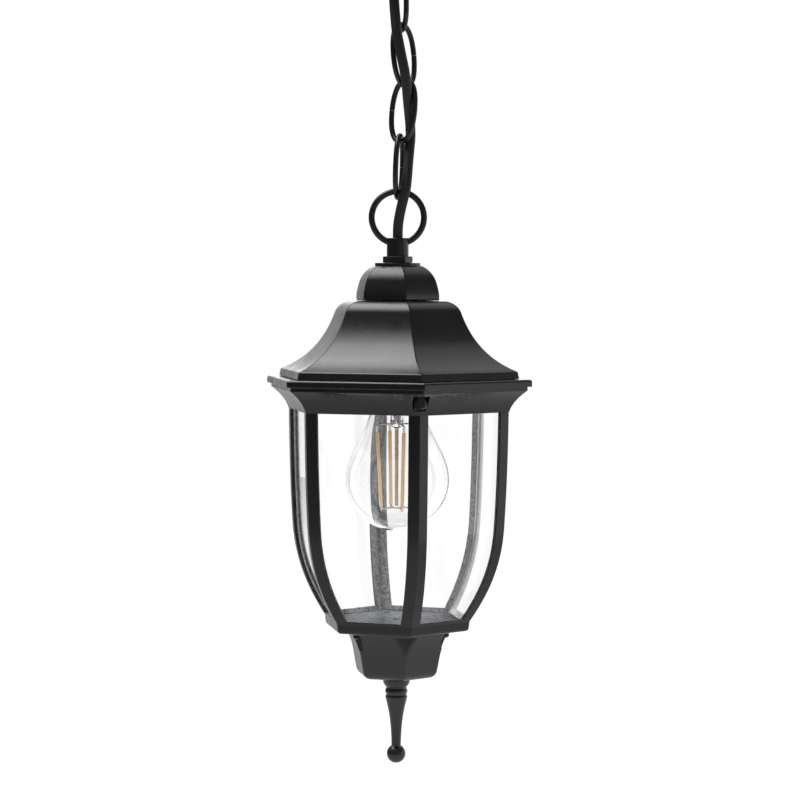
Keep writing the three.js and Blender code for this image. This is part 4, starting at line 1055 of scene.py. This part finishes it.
def makeCup(c):
    steps = 360
    foot, top = span("bottom_cup")
    angle = roundAngles(steps)[None]
    under, radius, sideFoot = top - c["web"], c["radius"], (c["side"], c["sideLevel"])
    turnIn = bezier((c["flat"], foot), (23.4, foot + 0.2), (c["side"] - 0.3, c["sideLevel"] - 1.6), sideFoot, 8)
    side = bezier(sideFoot, (27, -163), (27.2, -155.5), (radius, top), 40)[1:]
    side = np.concatenate([turnIn, side[side[:, 1] < under - 0.2], [(flatAt(side[::-1], under), under)]])
    rim = np.array(flats([(flatAt(side[::-1], under), under + 0.15), (radius - 0.5, top - 0.9),
                          (radius, top - 0.35), (radius - 0.35, top)]))
    hole, floor = c["hole"], foot + c["floor"]
    rows = [
        np.array([(hole, floor), (hole, foot)]),
        (scoopedRadius(c, side[:, :1] * across, angle), side[:, 1:]),
        (hexRadius(rim[:, :1], c["edge"], angle), rim[:, 1:]),
        filleted([(20, top), (20, top - 1.2, 0.4), (17.5, top - 3, 0.6), (16.5, foot + 7, 2), (14.5, floor, 1.5),
                  (hole, floor)], closed=False),
    ]
    piece = surfacePiece("bottomCup", stacked(rows, steps), 35)
    plan = notch(cage["screwPlace"], c["screwScoop"], 40, 24)
    levels = [(c["screwScoopFoot"], 0), (under, 0)]
    tools = [surfacePiece("screwScoop", prism(plan, levels, turn=corner)) for corner in cage["screwCorners"]]
    # The cup wears the paler copy of the coat, painted light from below.
    settle(carve(piece, tools, sharpAngle=35), paleLitCoat, "lantern", "bottom_cup")
    for i, place in enumerate(screwPlaces(cage)):
        addScrew(f"cupScrew_{i + 1}", f"cup_screw_{i + 1}", place, cupScrew, satinBlackSteel, "lantern")


finial = {
    "collar": 8.0, "bead": 6.55, "tip": 2.75, "ball": 5.5, "hole": 2.3, "holeDepth": 12,
    "stud": 2, "threadDepth": 0.32, "nutCorner": 4,
}


# The finial from its foot up: a ball, a hollow taper, a bead between two grooves, and a collar.
def makeFinial(f):
    foot, top = span("finial")
    ballLevel, collar, bead, holeFoot = foot + f["ball"], f["collar"], f["bead"], top - f["holeDepth"]
    neck = math.degrees(math.acos(f["tip"] / f["ball"]))
    outline = np.concatenate([
        arc((0, ballLevel), f["ball"], -90, neck, 22),
        bezier((f["tip"], ballLevel + 4.7), (3, -199.5), (5, -193.5), (bead - 0.1, -187.2), 28)[1:],
        filleted([(bead - 0.1, -186.9), (5.9, -186.1, 0.5), (6, -185.5), (bead, -184.3, 1.2), (bead, -183.2, 1.2),
                  (5.95, -182.2), (6, -181.4, 0.4)], closed=False),
        bezier((6.2, -181), (7.4, -180.1), (collar, -178.4), (collar, -176.6), 10),
        [(collar - 0.15, top + 0.15), (collar - 0.5, top), (f["hole"], top), (f["hole"], holeFoot), (0, holeFoot)],
    ])
    # The finial wears the paler copy of the coat, painted light from below.
    addPiece("finialDrop", stacked([outline], 64), paleLitCoat, "lantern", "finial", 40)
    rod = threadedRod(f["stud"], f["threadDepth"], *span("finial_stud"))
    addPiece("finialStud", rod, zincPlate, "lantern", "finial_stud", 40)
    nut = hexNut(f["nutCorner"], f["hole"], *span("finial_nut"))
    addPiece("finialNut", nut, zincPlate, "lantern", "finial_nut", 24)


makeCup(cup)
makeFinial(finial)

print("lampholder")

holder = {
    "radius": 18.5, "wall": 1.6, "neck": 8, "hole": 5.15, "grooves": 3, "grooveDepth": 0.6,
    "block": 16.3,
    "shell": 15.4, "shellWall": 0.5,
    "tongue": (5, 0.6), "tongueTip": 10.4,  # width and thickness, and how much of it keeps its width
}


def makeLampholder(h):
    r, hole = h["radius"], h["hole"]
    foot, top = span("holder_cap")
    cap = lathe([
        (r, foot, 0.5), (r, foot + 4, 0.8), (r - 1.2, foot + 6.8, 3), (h["neck"] + 2.5, foot + 9.4, 2.5),
        (h["neck"], top - 1.6, 0.8), (h["neck"], top, 0.5), (hole, top, 0.2), (hole, top - 8.2, 0.3),
        (r - h["wall"] * 2, foot + 4, 1), (r - h["wall"], foot, 0.4)], 72)
    addPiece("holderCap", cap, blackPhenolic, "lantern", "holder_cap")

    foot, top = span("holder_skirt")
    groove = r - h["grooveDepth"]
    bands = [(r, foot, 0.7)]
    for k in range(h["grooves"]):
        level = foot + 3 + 2.4 * k
        bands += [(r, level, 0.2), (groove, level + 0.4, 0.3), (groove, level + 1.0, 0.3), (r, level + 1.4, 0.2)]
    bands += [(r, top, 0.4), (r - h["wall"], top, 0.3), (r - h["wall"], foot, 0.5)]
    addPiece("holderSkirt", lathe(bands, 72), blackPhenolic, "lantern", "holder_skirt")

    foot, top = span("contact_block")
    edge = h["block"]
    block = lathe([(0, foot), (edge - 1, foot, 0.8), (edge, foot + 1, 0.8), (edge, top, 0.6), (0, top)])
    addPiece("contactBlock", block, whiteCeramic, "lantern", "contact_block")
    shell = rolledShell("screw_shell", h["shell"], h["shellWall"])
    addPiece("screwShell", shell, rawBrass, "lantern", "screw_shell", 50)

    # The contact is a springy tongue, narrower and rounded at its free end.
    near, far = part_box("centre_contact")
    width, thick = h["tongue"]
    x = np.linspace(near.x / mm + 0.1, far.x / mm - 0.1, 24)
    path = np.stack([x, 0 * x, span("centre_contact")[0] + thick / 2 + 0 * x], -1)
    taper = np.sqrt(np.clip(1 - ((x[-1] - x - 10) / 3) ** 2, 0.1, 1))
    size = np.where(x < x[-1] - h["tongueTip"], taper, 1)
    grid, *closing = swept(path, rectangle(width / 2, thick / 2, 0.2))
    grid[1:-1, :, 1] *= size[:, None]
    addPiece("centreContact", (lifted(grid), *closing), rawBrass, "lantern", "centre_contact")


makeLampholder(holder)

print("bulb")

bulb = {
    "globe": 30, "wall": 0.7, "neck": 12.9, "neckInCap": 11,
    "cap": 13.1, "capWall": 0.5,
    "stem": 4, "stemLevel": -29.5, "stemFlare": 9.6, "rod": 1.1,
    "stickWidth": 2.0, "stickDepth": 1.8, "stickPlaces": (12, 9.6),  # from the axis, at the top and at the foot
    "turn": 9.3,
    "wire": 0.5, "tab": (0.35, 0.75), "hub": 1.7,  # radii, and the tab's half widths
}


def makeBulb(b):
    foot, top = span("bulb_glass")
    globe, centre, shoulder = b["globe"], foot + b["globe"], span("bulb_screw_cap")[0] - 0.3
    rise = shoulder - centre
    outside = np.concatenate([
        arc((0, centre), globe, -90, 0, 30),
        bezier((globe, centre), (globe, centre + 0.32 * rise), (17.5, centre + 0.55 * rise), (b["neck"], shoulder),
               30)[1:],
        [(b["neckInCap"], shoulder + 0.5), (b["neckInCap"], top)],
    ])
    inside = moved(outside, b["wall"])[::-1]
    inside[0, 1], inside[-1, 0] = top, 0
    addPiece("bulbGlobe", stacked([outside, inside], 96), bulbGlass, "bulb", "bulb_glass", 60)
    shell = rolledShell("bulb_screw_cap", b["cap"], b["capWall"])
    addPiece("bulbScrewCap", shell, nickelPlate, "bulb", "bulb_screw_cap", 50)
    foot, top = span("bulb_insulator")
    bead = lathe([(0, foot), (12.4, foot, 0.6), (12, foot + 1.4, 1.2), (5.7, top - 0.6, 1.5), (5.4, top), (0, top)])
    addPiece("bulbInsulator", bead, blackBead, "bulb", "bulb_insulator")
    foot, top = span("bulb_tip")
    tip = lathe([(0, foot), (4.6, foot, 0.3), (4.6, foot + 1.1, 0.5), (2.8, top - 0.2, 0.8), (0, top)], 40)
    addPiece("bulbTip", tip, zincPlate, "bulb", "bulb_tip")


# The glass stem flares into the neck above and ends in a pinched press, and a thin rod goes on down from it.
def makeStem(b):
    (foot, top), press, stem, rod = span("bulb_stem"), b["stemLevel"], b["stem"], b["rod"]
    glass = lathe([(0, foot), (rod, foot, 0.5), (rod, press - 0.6, 0.5), (0, press - 0.6)], 24)
    # The rod's warm tint is a painted reflection of the light sticks.
    addPiece("stemRod", glass, sticksReflectionRod, "bulb", sharpAngle=50)
    outline = filleted([
        (0, press - 0.4), (rod, press - 0.4, 0.4), (stem * 0.8, press + 1, 1.2), (stem, press + 4, 2),
        (stem * 0.85, press + 9, 2), (stem * 0.9, top - 9, 2), (b["stemFlare"], top - 0.8, 2),
        (b["stemFlare"], top, 0.3), (0, top)], closed=False)
    grid, *closing = stacked([outline], 40)
    pinch = np.exp(-((outline[:, 1] - press - 3) / 2.6) ** 2)[:, None]  # the press is squeezed flat
    grid[:, :, 1] *= 1 - 0.45 * pinch
    addPiece("bulbStem", (grid, *closing), bulbGlass, "bulb", "bulb_stem", 50)


# Four light sticks hang round the rod on wires from the press, and a small star of wire at the rod's foot joins
# their feet. Each wire ends in a flat tab that holds its stick.
def makeFilaments(b):
    press, star = b["stemLevel"], span("filament_frame")[0] + 0.45
    heel, head = span("filament_1")
    outTop, outFoot = b["stickPlaces"]
    level = np.concatenate([[head, head - 0.3], np.linspace(head - 0.8, heel + 0.8, 12), [heel + 0.3, heel]])
    place = np.interp(level, [heel, head], [outFoot, outTop])
    path = np.stack([place, 0 * place, level], -1)
    size = np.ones(len(level))
    size[[0, 1, -2, -1]] = [0.7, 0.92, 0.92, 0.7]
    stick = swept(path, rectangle(b["stickDepth"] / 2, b["stickWidth"] / 2, 0.55), side=(1, 0, 0), size=size)
    tab, wire = rectangle(*b["tab"], 0.15), circle(b["wire"], 10)
    runs = [  # the section, the side that it keeps, and (outwards, level) along the wire
        (tab, (1, 0, 0), [(outTop, head - 0.3), (outTop + 0.1, head + 3.6)]),
        (wire, (0, 1, 0), [(outTop + 0.1, head + 2.4), (outTop - 1.6, head + 4.4), (6, head + 4.6),
                           (2.2, press + 2.6), (1.6, press + 5)]),
        (tab, (1, 0, 0), [(outFoot, heel + 0.3), (outFoot - 0.1, star - 1.4)]),
        (wire, (0, 1, 0), [(outFoot - 0.1, heel - 0.2), (outFoot - 1.2, star - 0.1), (4.5, star + 0.2),
                           (0.8, star + 0.1)]),
    ]
    wires = []
    for k in range(4):
        turn = b["turn"] + 90 * k
        addPiece(f"lightStick_{k + 1}", raised(stick, turn), amberPhosphor, "bulb", f"filament_{k + 1}", 50)
        for section, side, points in runs:
            way = smoothLine(np.array([(out, 0, rise) for out, rise in points], float), 6)
            wires.append(raised(swept(way, section, side=side), turn))
    hub = b["hub"]
    wires.append(lathe([(0, star - 0.4), (hub, star - 0.4, 0.2), (hub, star + 0.7, 0.2), (0, star + 0.7)], 24))
    addPiece("filamentWires", wires, nickelPlate, "bulb", "filament_frame", 50)


makeBulb(bulb)
makeStem(bulb)
makeFilaments(bulb)

print("floor and light")

studio = {
    "floorDrop": 0.62,  # under the finial, m
    "floorReach": 9,
    "surround": 0.7,  # the room's light on matt surfaces
    "backdrop": (0.643, 0.766, 0.0),  # the way to the white backdrop
    "backdropEdge": (0.56, 0.74),  # where the room goes over to it, as the cosine of the angle from that way
    "roomFront": (0.11, 0.34),  # how bright gloss sees the dim room, left and right, where 1 is the white backdrop
    "roomSides": (-0.6, 0.5),  # the X of the directions where left ends and right begins
    "ceiling": (0.19, 0.24),  # the same for the ceiling, to the right and to the left
    "ceilingSides": (0.7, -0.5),
    "ceilingRise": (0.12, 0.42),  # the Z of the directions where walls go over to the ceiling
    "paper": 0.82,
    "paperWhite": 0.45,  # added to the lit paper before the camera and through glass, so that it is white
    "paperGloss": 0.74,  # how bright gloss sees the paper near the lantern
    "paperFade": (3.4, 8.0),  # where it goes over to the dim room, m from a point towards the backdrop
    "paperMiddle": 2.0,
    "lamps": [
        # name, way from the lantern's middle, distance, diameter, power
        ("topSoftbox", (-0.32, 0.10, 0.94), 1.7, 1.9, 26),
        ("topSoftboxCore", (-0.32, 0.10, 0.94), 1.68, 1.1, 10),
        ("highBackSoftbox", (-0.1, 0.565, 0.82), 1.8, 1.1, 3.4),
        ("backSoftbox", (0.55, 0.43, 0.72), 2.0, 1.5, 3.4),
        ("rimSoftbox", (0.17, 0.97, 0.14), 3.0, 0.9, 3.4),
        ("rightSoftbox", (0.94, -0.33, -0.04), 2.4, 1.0, 2.0),
    ],
}


# The rays, and 1 for those from the camera and through glass.
def seenDirectly(tree):
    ray = addNode(tree, "LightPath")
    seen = addNode(tree, "Math", {0: ray.outputs["Is Camera Ray"], 1: ray.outputs["Is Transmission Ray"]},
                   operation="MAXIMUM")
    return ray, seen


# The room that gloss sees: at eye level the dim front goes over to the white backdrop behind, and both go over to
# the ceiling higher up.
def makeRoom(s):
    world = bpy.data.worlds.new("studioWorld")
    bpy.context.scene.world = world
    world.use_nodes = True
    tree = world.node_tree
    tree.nodes.clear()
    direction = addNode(tree, "TexCoord").outputs["Generated"]
    facing = addNode(tree, "VectorMath", {0: direction, 1: s["backdrop"]}, operation="DOT_PRODUCT")
    axes = addNode(tree, "SeparateXYZ", {0: direction})
    front = addNode(tree, "MapRange", {
        "Value": axes.outputs["X"], "From Min": s["roomSides"][0], "From Max": s["roomSides"][1],
        "To Min": s["roomFront"][0], "To Max": s["roomFront"][1]})
    wall = addNode(tree, "MapRange", {
        "Value": facing.outputs["Value"], "From Min": s["backdropEdge"][0], "From Max": s["backdropEdge"][1],
        "To Min": front, "To Max": 1.0}, interpolation_type="SMOOTHSTEP")
    ceiling = addNode(tree, "MapRange", {
        "Value": axes.outputs["X"], "From Min": s["ceilingSides"][0], "From Max": s["ceilingSides"][1],
        "To Min": s["ceiling"][0], "To Max": s["ceiling"][1]})
    rise = addNode(tree, "MapRange", {
        "Value": axes.outputs["Z"], "From Min": s["ceilingRise"][0], "From Max": s["ceilingRise"][1]},
        interpolation_type="SMOOTHSTEP")
    level = addNode(tree, "Mix", {"Factor": rise, "A": wall, "B": ceiling})
    ray, seen = seenDirectly(tree)
    gloss = addNode(tree, "Math", {0: ray.outputs["Is Glossy Ray"], 1: level}, operation="MULTIPLY")
    matt = addNode(tree, "Math", {0: ray.outputs["Is Diffuse Ray"], 1: s["surround"]}, operation="MULTIPLY")
    strength = addNode(tree, "Math", {0: seen, 1: gloss}, operation="MAXIMUM")
    strength = addNode(tree, "Math", {0: strength, 1: matt}, operation="MAXIMUM")
    sky = addNode(tree, "Background", {"Color": (1, 1, 1, 1), "Strength": strength})
    addNode(tree, "OutputWorld", {"Surface": sky})


# White paper that goes on as far as the eye sees. Gloss sees it fade into the dim room.
def makeFloor(s):
    level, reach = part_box("finial")[0].z - s["floorDrop"], s["floorReach"]
    mesh = bpy.data.meshes.new("studioFloor")
    mesh.from_pydata([(x * reach, y * reach, level) for x, y in ((-1, -1), (1, -1), (1, 1), (-1, 1))], [],
                     [(0, 1, 2, 3)])
    floor = addObject("studioFloor", mesh)
    paper, tree = newMaterial("whitePaper")
    ray, seen = seenDirectly(tree)
    lift = addNode(tree, "Math", {0: seen, 1: s["paperWhite"]}, operation="MULTIPLY")
    paperFace = addNode(tree, "BsdfDiffuse", {"Color": (s["paper"],) * 3 + (1,)})
    glow = addNode(tree, "Emission", {"Color": (1, 1, 1, 1), "Strength": lift})
    lit = addNode(tree, "AddShader", {0: paperFace, 1: glow})
    spot = Vector(s["backdrop"]) * s["paperMiddle"] + Vector((0, 0, level))
    place = addNode(tree, "TexCoord").outputs["Object"]
    away = addNode(tree, "VectorMath", {0: place, 1: spot}, operation="DISTANCE")
    fade = addNode(tree, "MapRange", {
        "Value": away.outputs["Value"], "From Min": s["paperFade"][0], "From Max": s["paperFade"][1],
        "To Min": s["paperGloss"], "To Max": s["roomFront"][0]}, interpolation_type="SMOOTHSTEP")
    mirrored = addNode(tree, "Emission", {"Color": (1, 1, 1, 1), "Strength": fade})
    # Rays through glass count as glossy too, so they are taken off.
    mirror = addNode(tree, "Math", {0: ray.outputs["Is Glossy Ray"], 1: ray.outputs["Is Transmission Ray"]},
                     operation="SUBTRACT", use_clamp=True)
    face = addNode(tree, "MixShader", {0: mirror, 1: lit, 2: mirrored})
    addNode(tree, "OutputMaterial", {"Surface": face})
    mesh.materials.append(paper)


def makeLamps(s):
    middle = Vector((0, 0, rimLevel))
    for name, way, distance, diameter, power in s["lamps"]:
        data = bpy.data.lights.new(name, "AREA")
        data.shape, data.size, data.energy = "DISK", diameter, power
        lamp = addObject(name, data)
        lamp.location = middle + Vector(way).normalized() * distance
        lamp.rotation_euler = Vector(way).to_track_quat("Z", "Y").to_euler()


makeRoom(studio)
makeFloor(studio)
makeLamps(studio)
bpy.context.scene.view_settings.view_transform = "Standard"
